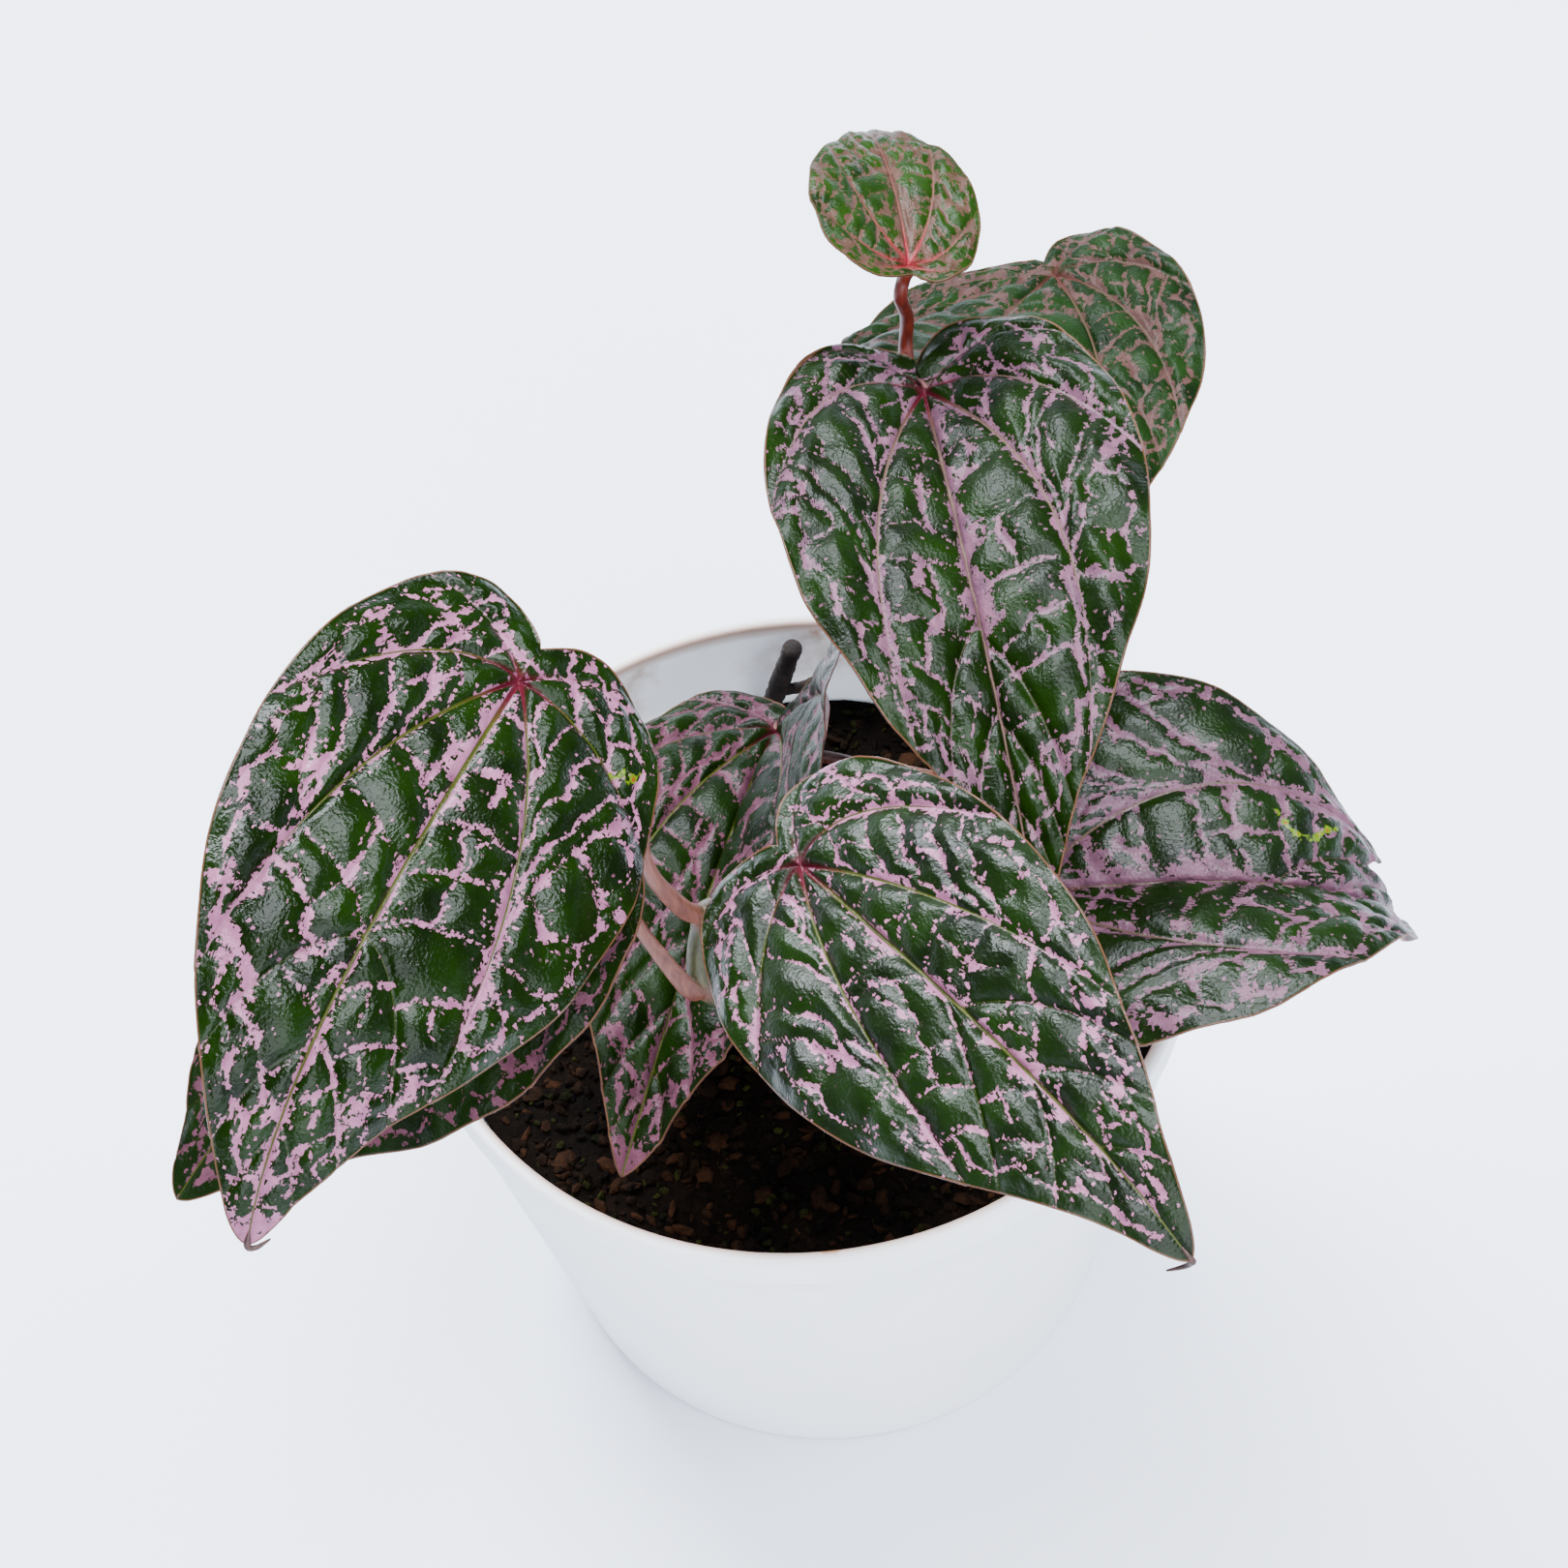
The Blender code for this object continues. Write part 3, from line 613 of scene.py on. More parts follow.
def crooked(rng, start, end, bow, scale):
    """A small vein from start to end: a bowed line with a slight wander."""
    span = end - start
    gap = float(np.hypot(*span))
    count = max(2, round(gap / (RUNG_STEP * scale)))
    t = np.linspace(0.0, 1.0, count + 1)
    across = np.array([-span[1], span[0]]) / max(gap, 1e-6)
    shift = bow * gap * 4 * t * (1 - t)
    shift[1:-1] += rng.normal(0.0, RUNG_WANDER * scale, count - 1)
    return start + t[:, None] * span + shift[:, None] * across


def grow_net(rng, half, rim):
    """Curves of the main veins of one half, and its small veins as (line, half widths, lift)."""
    scale = half.blade.length / RELIEF_LENGTH
    fine = np.linspace(0.0, 1.0, 31)
    curves = [np.stack([c[0] for c in flat_rows(half, np.array([float(knot)]), fine)], 1)
              for knot in half.knots]
    roots = [vein[0] * half.blade.length for vein in half.veins]
    net = []

    def grow(line, band=NET_BAND, lift=0.0):
        widths = rng.uniform(*band, len(line)) * scale
        lot = rng.random(len(line))
        widths += sum(growth * (lot < chance) for chance, growth in BLOTS) * scale
        net.append((line, widths, lift))

    knots = []
    for k in range(len(curves) - 1):
        rail_a, rail_b = curves[k], curves[k + 1]
        if roots[k + 1] > roots[k]:
            rail_b = np.vstack([[(roots[k], 0.0)], rail_b])
        reach = (line_length(rail_a) + line_length(rail_b)) / 2
        count = max(2, round(reach / (RUNG_PITCH * scale)))
        previous = None
        for i in range(1, count):
            share = (i + rng.uniform(-RUNG_STRAY, RUNG_STRAY)) / count
            start = at_share(rail_a, np.clip(share + rng.normal(0.0, RUNG_SLANT), *RUNG_ENDS))
            end = at_share(rail_b, np.clip(share + rng.normal(0.0, RUNG_SLANT), *RUNG_ENDS))
            gap = np.hypot(*(end - start))
            if gap < SHORTEST_RUNG * scale:
                continue
            rung = crooked(rng, start, end, -RUNG_BOW, scale)
            grow(rung)
            knots += list(rung[1:-1])
            middle = rung[len(rung) // 2]
            if previous is not None and gap > LINK_GAP * scale and rng.random() < LINK_CHANCE:
                grow(crooked(rng, previous, middle, rng.normal(0.0, LINK_BOW), scale))
            else:
                root = at_share(np.array([start, end]), rng.uniform(*SPUR_ROOT))
                ahead = min(share + SPUR_REACH / count, 1.0)
                toward = (at_share(rail_a, ahead) + at_share(rail_b, ahead)) / 2
                if rng.random() < SPUR_CHANCE and gap > SPUR_GAP * scale:
                    grow(crooked(rng, root, toward, 0.0, scale), SPUR_BAND, SPUR_LIFT * scale)
            previous = middle
    count = round(line_length(rim) / (LOOP_PITCH * scale))
    loop = []
    for i in range(1, count):
        share = (i + rng.uniform(-LOOP_STRAY, LOOP_STRAY)) / count
        depth = LOOP_DEPTHS[i % 2] * rng.uniform(*LOOP_SPREAD) * scale
        place = at_share(rim, share)
        along = at_share(rim, min(share + 0.01, 1.0)) - at_share(rim, max(share - 0.01, 0.0))
        knot = place + np.array([along[1], -along[0]]) / np.hypot(*along) * depth
        if knot[1] < LOOP_CLEAR * scale:
            continue
        loop.append(knot)
        grow(crooked(rng, knot, place, 0.0, scale * THREAD_CALM), THREAD_BAND)
        if i % 2 == 1 and knots:
            gaps = np.hypot(*(np.array(knots) - knot).T)
            if gaps.min() < FEEDER_REACH * scale:
                grow(crooked(rng, knots[int(gaps.argmin())], knot, rng.normal(0.0, FEEDER_BOW), scale))
    for start, end in zip(loop, loop[1:]):
        grow(crooked(rng, start, end, LOOP_BOW, scale * LOOP_CALM), LOOP_BAND)
    return curves, net


def pink_field(gap, width, scale):
    """Below 0 inside a pink band of this half width, and rising with the distance outside it."""
    return (gap - width) / (np.maximum(width, 0.0) + EDGE_SOFTNESS * scale)


def half_fields(half, rng, x, y):
    """Everything the surface of half a blade depends on, at its flat points."""
    blade, side = half.blade, half.side
    points = np.stack([x.ravel(), y.ravel()], 1)
    scale = blade.length / RELIEF_LENGTH
    share = np.linspace(0.0, 1.0, FINE_STEPS)
    rim = np.stack([np.interp(share, OUTLINE[0], OUTLINE[1]) * blade.length,
                    np.interp(share, OUTLINE[0], OUTLINE[2]) * blade.halves[side]], 1)
    edge = line_distance(points, rim)[0]
    curves, net = grow_net(rng, half, rim)

    # Main veins: distance, and pink bands of changing width on either side
    vein, line, pink, small = (np.full(len(points), FAR) for _ in range(4))
    midrib = np.array([(0.0, 0.0), (blade.length, 0.0)])
    routes = [(midrib, MIDRIB_BAND, MIDRIB_LINE), *zip(curves[1:-1], VEIN_BANDS, VEIN_LINES)]
    fullness, net_fullness = PINK[half.name][side], PINK[half.name][2]
    for route, band, core in routes:
        gap, along, sign = line_distance(points, route)
        part = unit(along / line_length(route))
        swing = both_sides(rng, sign, along, TEETH_PITCH * scale)
        swing = swing * both_sides(rng, sign, along, SWELL_PITCH * scale)
        least = MIDRIB_PINK.get((half.name, side), MIDRIB_LEAST) if route is midrib else MIDRIB_LEAST
        pause = both_sides(rng, sign, along, PAUSE_PITCH * scale)
        swing = least + BAND_SWING * swing - PAUSE_DEPTH * unit((PAUSE_LOT - least - pause) / PAUSE_EDGE)
        width = band * scale * fullness * swing * np.clip(along / (HUB_FADE * scale), 0.3, 1.0)
        width = width * unit((BAND_END - part) / (MIDRIB_TAPER if route is midrib else BAND_TAPER))
        taper = 1.0 - LINE_TAPER * part
        if route is not midrib:
            taper = taper * unit((LINE_END - part) / LINE_FADE)
        vein = np.minimum(vein, gap)
        line = np.minimum(line, gap - core * taper * math.sqrt(scale))
        pink = np.minimum(pink, pink_field(gap, width, scale))

    for route, widths, lift in net:
        for a, b, low, high in zip(route, route[1:], widths, widths[1:]):
            span = b - a
            rel = points - a
            t = unit(rel @ span / max(span @ span, 1e-9))
            gap = np.hypot(*(rel - t[:, None] * span).T)
            pink = np.minimum(pink, pink_field(gap, (low + (high - low) * t) * net_fullness, scale))
            small = np.minimum(small, gap + lift)
    if half.name in PINK_TIPS:
        tip_gap = blade.length - points[:, 0]
        pink = np.minimum(pink, TIP_SOFTNESS * (tip_gap / PINK_TIPS[half.name] - TIP_SHARE))
    scar = np.full(len(points), NO_SCAR)
    if half.name in SCARS and side == 0:
        route = np.array(SCARS[half.name]) * (blade.length, blade.halves[side])
        scar = line_distance(points, route)[0]
    return {"vein": vein, "line": line, "pink": pink, "edge": edge, "net": small, "scar": scar}


def value_noise(rng, size, pitch):
    """A function of x and y in mm: smooth random values from -1 to 1 on a lattice."""
    count = int(size / pitch) + 4
    grid = rng.uniform(-1.0, 1.0, (count, count))

    def sample(x, y):
        u = (np.asarray(x) + size / 2) / pitch + 1
        v = (np.asarray(y) + size / 2) / pitch + 1
        i = np.clip(u.astype(int), 0, count - 2)
        j = np.clip(v.astype(int), 0, count - 2)
        s = np.clip(u - i, 0.0, 1.0)
        t = np.clip(v - j, 0.0, 1.0)
        s = s * s * (3 - 2 * s)
        t = t * t * (3 - 2 * t)
        return (grid[i, j] * (1 - s) * (1 - t) + grid[i + 1, j] * s * (1 - t)
                + grid[i, j + 1] * (1 - s) * t + grid[i + 1, j + 1] * s * t)

    return sample


LEAF_RNG = np.random.default_rng(41)
LEAF_NOISE = [(value_noise(LEAF_RNG, 200.0, pitch), height) for pitch, height in PUCKERS]


def dome(distance, span):
    """Rises from 0 at a vein to 1 at this distance, steep first and level at the top."""
    return 1.0 - (1.0 - unit(distance / span)) ** 2


def relief(half, phases, across, fields, x, y):
    """Height in mm of the quilted face: veins are valleys between pillows."""
    scale = half.blade.length / RELIEF_LENGTH
    vein, net, edge = (fields[key].reshape(x.shape) for key in ("vein", "net", "edge"))
    calm = unit((half.knots[-1] - phases) / CALM_VEINS)[:, None]
    margin = np.interp(phases, half.knots, [vein[2] for vein in half.veins])[:, None]
    turns = WAVES_PER_SIDE * margin + SIDE_WAVE_SHIFT * half.side
    wave = np.sin(2 * np.pi * turns) * across[None, :] ** 3
    fade = np.clip(edge / (QUILT_FROM_EDGE * scale), LEAST_QUILT, 1.0)
    cells = dome(net, NET_SPAN * scale) * dome(vein, CELL_SPAN * scale)
    pillows = MAIN_PART * dome(vein, MAIN_SPAN * scale) + (1.0 - MAIN_PART) * cells
    groove = VEIN_GROOVE * np.exp(-(vein / GROOVE_WIDTH) ** 2)
    height = QUILT_HEIGHT * pillows * fade + MARGIN_WAVE * wave
    height += sum(size * noise(x, y) for noise, size in LEAF_NOISE) * dome(vein, CELL_SPAN)
    return height * calm * scale - groove * scale


FACTS = ("vein", "line", "pink", "edge", "scar")


def build_blade(name, mat, seed):
    """One blade: quilted upper face, ribbed underside, thin rounded margin."""
    blade = BLADES[name]
    halves = blade_halves(name)
    rng = np.random.default_rng(seed)
    phases = row_phases(halves)
    across = np.linspace(0.0, 1.0, COLUMNS + 1)
    shape = (len(phases), len(across))
    places, facts, indices = [], {key: [] for key in (*FACTS, "x", "y")}, []
    for side, half in enumerate(halves):
        x, y = flat_rows(half, phases, across)
        fields = half_fields(half, rng, x, y)
        height = relief(half, phases, across, fields, x, y)
        places.append(bend_points(blade, side, x, y, height).reshape(-1, 3))
        fields.update(x=x.ravel(), y=(y if side == 0 else -y).ravel())
        for key, values in facts.items():
            values.append(fields[key])
        index = np.arange(x.size).reshape(shape) + side * x.size
        # Rows from the hub share one point there, and the last row is only the tip
        index[:np.searchsorted(phases, HUB_VEINS) + 1, 0] = index[0, 0]
        index[-1, :] = index[-1, 0]
        if side == 1:
            index[:, 0] = indices[0][:, 0]
            index[0, :] = indices[0][0, :]
            index[-1, :] = indices[0][-1, 0]
        indices.append(index)
    faces = []
    for side, index in enumerate(indices):
        quads = np.stack([index[:-1, :-1], index[:-1, 1:], index[1:, 1:], index[1:, :-1]], -1)
        faces += [quad if side == 1 else quad[::-1] for quad in quads.reshape(-1, 4).tolist()]
    rim = list(indices[1][:, -1]) + list(indices[0][::-1, -1])
    facts = {key: np.concatenate(values) for key, values in facts.items()}
    return close_blade(name, np.vstack(places), facts, faces, rim, mat, seed)


def close_blade(name, points, facts, faces, rim, mat, seed):
    """Drop unused points, add the underside and the margin, and make the object."""
    scale = BLADES[name].length / RELIEF_LENGTH
    tidy = []
    for face in faces:
        face = [v for k, v in enumerate(face) if v != face[k - 1]]
        if len(set(face)) > 2:
            tidy.append(face)
    used = np.unique(np.concatenate([np.array(f) for f in tidy]))
    fresh = np.full(len(points), -1)
    fresh[used] = np.arange(len(used))
    points = points[used]
    facts = {key: values[used] for key, values in facts.items()}
    top = [[int(fresh[v]) for v in face] for face in tidy]
    loop = [int(fresh[v]) for v in rim]
    loop = [v for k, v in enumerate(loop) if v != loop[k - 1]]
    ribs = UNDER_RIB * np.exp(-(facts["vein"] / UNDER_RIB_WIDTH) ** 2) * unit(facts["edge"] / UNDER_RIB_FROM)
    swell = (MIDDLE_THICKNESS - MARGIN_THICKNESS) * unit(facts["edge"] / THICK_FROM)
    below = points - point_normals(points, top) * (MARGIN_THICKNESS + swell + ribs * scale)[:, None]
    total = len(points)
    under = [[v + total for v in face[::-1]] for face in top]
    band = [[b, a, a + total, b + total] for a, b in zip(loop, loop[1:] + loop[:1])]
    attributes = {key: np.concatenate([facts[key]] * 2) for key in FACTS}
    flat = np.stack([facts["x"], facts["y"], np.full(total, 2 * FACE_STEP * seed)], 1)
    attributes["flat"] = np.vstack([flat, flat + np.array([0.0, 0.0, FACE_STEP])])
    attributes["under"] = np.concatenate([np.zeros(total), np.ones(total)])
    return piece(name + "_blade", np.vstack([points, below]), top + under + band, attributes, mat)


def point_normals(points, faces):
    """Area-weighted normals at the points."""
    normals = np.zeros_like(points)
    for size in (3, 4):
        group = np.array([f for f in faces if len(f) == size])
        if len(group) == 0:
            continue
        edges = [points[group[:, k]] - points[group[:, 0]] for k in range(1, size)]
        cross = sum(np.cross(a, b) for a, b in zip(edges, edges[1:]))
        for k in range(size):
            np.add.at(normals, group[:, k], cross)
    return normals / np.maximum(np.linalg.norm(normals, axis=1), 1e-12)[:, None]


# Materials of the plant

def leaf_material(name, shades, wax, roughness):
    """Living leaf with a waxy cuticle, as grown: hard-edged pink along the veins on deep green, a
    leathery grain, and a gloss that breaks up on the pillows."""
    mat, tree, shader = new_material(name)
    flat = add(tree, "Attribute", attribute_name="flat").outputs["Vector"]
    vein, line, pink, edge, scar, under = (add(tree, "Attribute", attribute_name=key).outputs["Fac"]
                                           for key in (*FACTS, "under"))
    # Blocky teeth of the pink, with smaller teeth on them
    ragged = pink
    for size, reach in PINK_TEETH:
        cells = add(tree, "TexVoronoi", {"Vector": flat, "Scale": 1 / size, "Randomness": 0.85},
                    distance="CHEBYCHEV")
        tooth = add(tree, "SeparateColor", {0: cells.outputs["Color"]})
        swing = add(tree, "MapRange", {0: tooth.outputs["Red"], 3: -reach, 4: reach})
        ragged = add(tree, "Math", {0: ragged, 1: swing}, operation="ADD")
    band = add(tree, "MapRange", {0: ragged, 1: 0.05, 2: -0.05}, interpolation_type="SMOOTHSTEP")
    # A few loose flecks near the bands
    rare = add(tree, "MapRange", {0: tooth.outputs["Green"], 1: 0.97, 2: 0.98})
    close = add(tree, "MapRange", {0: pink, 1: 2.6, 2: 2.2})
    fleck = add(tree, "Math", {0: rare, 1: close}, operation="MULTIPLY")
    band = add(tree, "Math", {0: band, 1: fleck}, operation="MAXIMUM")
    # Greens and pinks in patches
    patches = add(tree, "TexNoise", {"Vector": flat, "Scale": 1 / GREEN_PATCH, "Detail": 3.0})
    green = add(tree, "ValToRGB", {0: patches}, ((0.32, shades["dark"]), (0.68, shades["green"])))
    blush = add(tree, "TexNoise", {"Vector": flat, "Scale": 1 / PINK_PATCH, "Detail": 3.0})
    rose = add(tree, "ValToRGB", {0: blush}, ((0.3, shades["pink_deep"]), (0.7, shades["pink"])))
    face = add(tree, "Mix", {0: band, 6: green, 7: rose}, data_type="RGBA")
    # Olive line on each main vein, crimson round the hub
    reach = add(tree, "VectorMath", {0: flat, 1: (1.0, 1.0, 0.0)}, operation="MULTIPLY")
    hub = add(tree, "VectorMath", {0: reach}, operation="LENGTH")
    vein_line = add(tree, "MapRange", {0: line, 1: 0.06, 2: -0.04})
    warm = add(tree, "MapRange", {0: hub, 1: 9.0, 2: 3.0})
    shade = add(tree, "Mix", {0: warm, 6: shades["line"], 7: shades["hub"]}, data_type="RGBA")
    face = add(tree, "Mix", {0: vein_line, 6: face, 7: shade}, data_type="RGBA")
    glow_reach = add(tree, "MapRange", {0: hub, 1: 5.5, 2: 0.5})
    glow_line = add(tree, "MapRange", {0: vein, 1: 0.55, 2: 0.05})
    star = add(tree, "Math", {0: glow_reach, 1: glow_line}, operation="MULTIPLY")
    heart = add(tree, "MapRange", {0: hub, 1: 2.0, 2: 0.6, 4: 0.8})
    star = add(tree, "Math", {0: star, 1: heart}, operation="MAXIMUM")
    face = add(tree, "Mix", {0: star, 6: face, 7: shades["hub"]}, data_type="RGBA")
    # Yellow-green scar with a brown thread in it
    teeth = add(tree, "TexNoise", {"Vector": flat, "Scale": 1 / SCAR_TEETH, "Detail": 3.0})
    shift = add(tree, "MapRange", {0: teeth, 1: 0.3, 2: 0.7, 3: -0.8, 4: 0.8})
    torn = add(tree, "Math", {0: scar, 1: shift}, operation="ADD")
    for low, high, shade in SCAR_MARKS:
        mark = add(tree, "MapRange", {0: torn, 1: low, 2: high})
        face = add(tree, "Mix", {0: mark, 6: face, 7: shade}, data_type="RGBA")
    # Thin warm line on the margin
    rim = add(tree, "MapRange", {0: edge, 1: 0.27, 2: 0.15})
    face = add(tree, "Mix", {0: rim, 6: face, 7: shades["margin"]}, data_type="RGBA")
    # Wine-coloured underside with paler ribs
    rib = add(tree, "MapRange", {0: vein, 1: 0.9, 2: 0.3})
    back = add(tree, "ValToRGB", {0: patches}, ((0.3, shades["under"]), (0.7, shades["under_green"])))
    back = add(tree, "Mix", {0: rib, 6: back, 7: shades["under_rib"]}, data_type="RGBA")
    face = add(tree, "Mix", {0: under, 6: face, 7: back}, data_type="RGBA")
    # Soft gloss, a little duller in places, over grain and puckers
    gloss = add(tree, "MapRange", {0: blush, 1: 0.3, 2: 0.7, 3: roughness - 0.05, 4: roughness + 0.05})
    grain = add(tree, "TexNoise", {"Vector": flat, "Scale": 1 / LEAF_GRAIN, "Detail": 1.5})
    puckers = add(tree, "TexNoise", {"Vector": flat, "Scale": 1 / LEAF_PUCKER, "Detail": 1.0})
    bump = add(tree, "Bump", {"Height": puckers, "Strength": 0.6, "Distance": 0.14 * MM})
    bump = add(tree, "Bump", {"Height": grain, "Strength": 0.8, "Distance": 0.16 * MM, "Normal": bump})
    connect(tree, shader, {"Base Color": face, "Roughness": gloss, "Normal": bump, "IOR": 1.45,
                           "Specular IOR Level": wax})
    return mat


# Yellow-green scar tissue and its brown thread: how far from the line they start, where they are full,
# and their colours
SCAR_MARKS = ((0.36, 0.08, "#4e6406"), (-0.25, -0.4, "#6e3408"))
# Colours of the full-grown leaves
GROWN = {
    "dark": "#040e00", "green": "#0b1f00", "pink": "#8e5a74", "pink_deep": "#72435c", "line": "#363a12",
    "hub": "#46101c", "margin": "#523626", "under": "#3c1626", "under_green": "#453430",
    "under_rib": "#7a504c",
}
# Every skin of the leaves: where its colours differ from those, and the strength and roughness of its
# gloss. Some are darker copies of these colours, with painted shade in them
SKINS = {
    "waxy_grown_leaf": ({}, 0.17, 0.225),
    "satin_grown_leaf": ({}, 0.23, 0.34),
    # Pinks darker than on the grown leaves: painted shade
    "waxy_outer_leaf": ({"pink": "#664454", "pink_deep": "#48303c", "line": "#48382f"}, 0.23, 0.32),
    # Pinks darker than on the grown leaves: painted shade
    "satin_upper_leaf": ({"pink": "#6a4656", "pink_deep": "#4c3442", "line": "#4c3a32"}, 0.125, 0.34),
    "waxy_young_leaf": ({
        "dark": "#071901", "green": "#193204", "pink": "#4c362e", "pink_deep": "#36261c",
        "line": "#58362e", "hub": "#701c24", "margin": "#44301c", "under": "#5a3028",
        "under_green": "#4a4a20", "under_rib": "#704438"}, 0.105, 0.36),
    # Darker greens and browner pinks: partly the blade's own brownish tint, partly painted shade on the blade
    # behind
    "shaded_brownish_waxy_leaf": ({
        "dark": "#061403", "green": "#112708", "pink": "#48322e", "pink_deep": "#352522",
        "line": "#3c3024", "hub": "#40241f"}, 0.07, 0.40),
    # Pinks darker than on the grown leaves: painted shade on the low blades under the others
    "shaded_waxy_leaf": ({"pink": "#5e3846", "pink_deep": "#442833"}, 0.11, 0.36),
}
LEAF_SKINS = {
    "leaf_left": "waxy_grown_leaf", "leaf_front": "satin_grown_leaf", "leaf_center": "satin_upper_leaf",
    "leaf_right": "waxy_outer_leaf", "leaf_young": "waxy_young_leaf", "leaf_back": "shaded_brownish_waxy_leaf",
    "leaf_under": "shaded_waxy_leaf", "leaf_low": "shaded_waxy_leaf",
}


def stem_material():
    """Living stem and petioles, as grown: a smooth skin that gleams a little over fine streaks, green-brown
    on the stem, pink-brown on the petioles, redder on the young one and darkest at the joints."""
    mat, tree, shader = new_material("smooth_grown_stem_skin")
    place = add(tree, "TexCoord").outputs["Object"]
    streaks = add(tree, "Mapping", {0: place, 3: (per(0.714), per(0.714), per(5.56))})
    grain = add(tree, "TexNoise", {"Vector": streaks, "Scale": 1.0, "Detail": 4.0})
    # This green-brown is a shade darker than the stem's own: painted shade, for the front stem under the
    # leaves
    skin = add(tree, "ValToRGB", {0: grain}, ((0.3, "#262a17"), (0.7, "#424029")))
    for part, dark, light in (("petiole", "#462119", "#6e4032"), ("young", "#42110b", "#642317")):
        share = add(tree, "Attribute", attribute_name=part).outputs["Fac"]
        shade = add(tree, "ValToRGB", {0: grain}, ((0.3, dark), (0.7, light)))
        skin = add(tree, "Mix", {0: share, 6: skin, 7: shade}, data_type="RGBA")
    joint = add(tree, "Attribute", attribute_name="joint").outputs["Fac"]
    skin = add(tree, "Mix", {0: joint, 6: skin, 7: "#4e2216"}, data_type="RGBA")
    bump = add(tree, "Bump", {"Height": grain, "Strength": 0.3, "Distance": 0.15 * MM})
    connect(tree, shader, {"Base Color": skin, "Roughness": 0.42, "Specular IOR Level": 0.3, "Normal": bump})
    return mat


def drip_tip_material():
    """Leaf tissue, dried on the plant: horny, mottled brown and dull."""
    mat, tree, shader = new_material("dried_leaf_tip")
    place = add(tree, "TexCoord").outputs["Object"]
    grain = add(tree, "TexNoise", {"Vector": place, "Scale": per(0.667), "Detail": 3.0})
    shade = add(tree, "ValToRGB", {0: grain}, ((0.3, "#1c0c08"), (0.7, "#43241c")))
    connect(tree, shader, {"Base Color": shade, "Roughness": 0.6})
    return mat


def dead_stem_material():
    """Stem tissue, dried and cracked: near black, with rough streaks along it and no gloss."""
    mat, tree, shader = new_material("dried_stem_bark")
    place = add(tree, "TexCoord").outputs["Object"]
    streaks = add(tree, "Mapping", {0: place, 3: (per(0.833), per(0.833), per(6.67))})
    grain = add(tree, "TexNoise", {"Vector": streaks, "Scale": 1.0, "Detail": 6.0})
    shade = add(tree, "ValToRGB", {0: grain}, ((0.35, "#0a0605"), (0.7, "#281a13")))
    bump = add(tree, "Bump", {"Height": grain, "Strength": 0.8, "Distance": 0.5 * MM})
    connect(tree, shader, {"Base Color": shade, "Roughness": 0.9, "Normal": bump})
    return mat


def pot_material():
    """Injection-moulded polypropylene: milky white with a soft gloss, brown grime inside the lip."""
    mat, tree, shader = new_material("moulded_white_polypropylene")
    place = add(tree, "TexCoord").outputs["Object"]
    height = add(tree, "SeparateXYZ", {0: place}).outputs["Z"]
    cloud = add(tree, "TexNoise", {"Vector": place, "Scale": per(18.2), "Detail": 5.0})
    speck = add(tree, "TexNoise", {"Vector": place, "Scale": per(2.38), "Detail": 3.0})
    level = add(tree, "VectorMath", {0: place, 1: (1.0, 1.0, 0.0)}, operation="MULTIPLY")
    radius = add(tree, "VectorMath", {0: level}, operation="LENGTH")
    # Clouds of grime with specks in them, only inside and near the lip
    near_lip = add(tree, "MapRange", {0: height, 1: 72.5 * MM, 2: 84.3 * MM})
    dirty = add(tree, "MapRange", {0: cloud, 1: 0.40, 2: 0.58})
    flecked = add(tree, "MapRange", {0: speck, 1: 0.36, 2: 0.62, 3: 0.3, 4: 1.0})
    inside = add(tree, "MapRange", {0: radius, 1: 59.4 * MM, 2: 58.2 * MM})
    stain = near_lip
    for share in (dirty, flecked, inside):
        stain = add(tree, "Math", {0: stain, 1: share}, operation="MULTIPLY")
    # Water mark all along the inner edge of the lip
    ring = add(tree, "MapRange", {0: height, 1: 82.5 * MM, 2: 84.3 * MM, 4: 0.75})
    ring = add(tree, "Math", {0: ring, 1: inside}, operation="MULTIPLY")
    grime = add(tree, "Math", {0: stain, 1: ring}, operation="MAXIMUM")
    body = add(tree, "ValToRGB", {0: cloud}, ((0.3, "#eef2f7"), (0.7, "#f6f8fb")))
    skin = add(tree, "Mix", {0: grime, 6: body, 7: "#9a6a42"}, data_type="RGBA")
    bump = add(tree, "Bump", {"Height": speck, "Strength": 0.15, "Distance": 0.05 * MM})
    connect(tree, shader, {"Base Color": skin, "Roughness": 0.42, "Normal": bump, "Subsurface Weight": 0.5,
                           "Subsurface Radius": (1.0, 1.0, 1.0), "Subsurface Scale": 2.0 * MM})
    return mat


def soil_material(name, dark, light, rough):
    """Damp potting mix, milled and crumbled: near black with brown or green bits, rough and dull."""
    mat, tree, shader = new_material(name)
    place = add(tree, "TexCoord").outputs["Object"]
    tone = add(tree, "Attribute", attribute_name="tone").outputs["Fac"]
    grit = add(tree, "TexNoise", {"Vector": place, "Scale": per(1.11), "Detail": 5.0})
    patch = add(tree, "TexNoise", {"Vector": place, "Scale": per(9.1), "Detail": 2.0})
    damp = add(tree, "MapRange", {0: patch, 1: 0.35, 2: 0.65, 3: 0.35, 4: 1.25})
    mix = tone
    for share in (grit, damp):
        mix = add(tree, "Math", {0: mix, 1: share}, operation="MULTIPLY")
    shade = add(tree, "ValToRGB", {0: mix}, ((0.05, dark), (0.55, light)))
    bump = add(tree, "Bump", {"Height": grit, "Strength": 0.9, "Distance": 0.6 * MM})
    connect(tree, shader, {"Base Color": shade, "Roughness": rough, "Specular IOR Level": 0.06,
                           "Normal": bump})
    return mat


# Pot

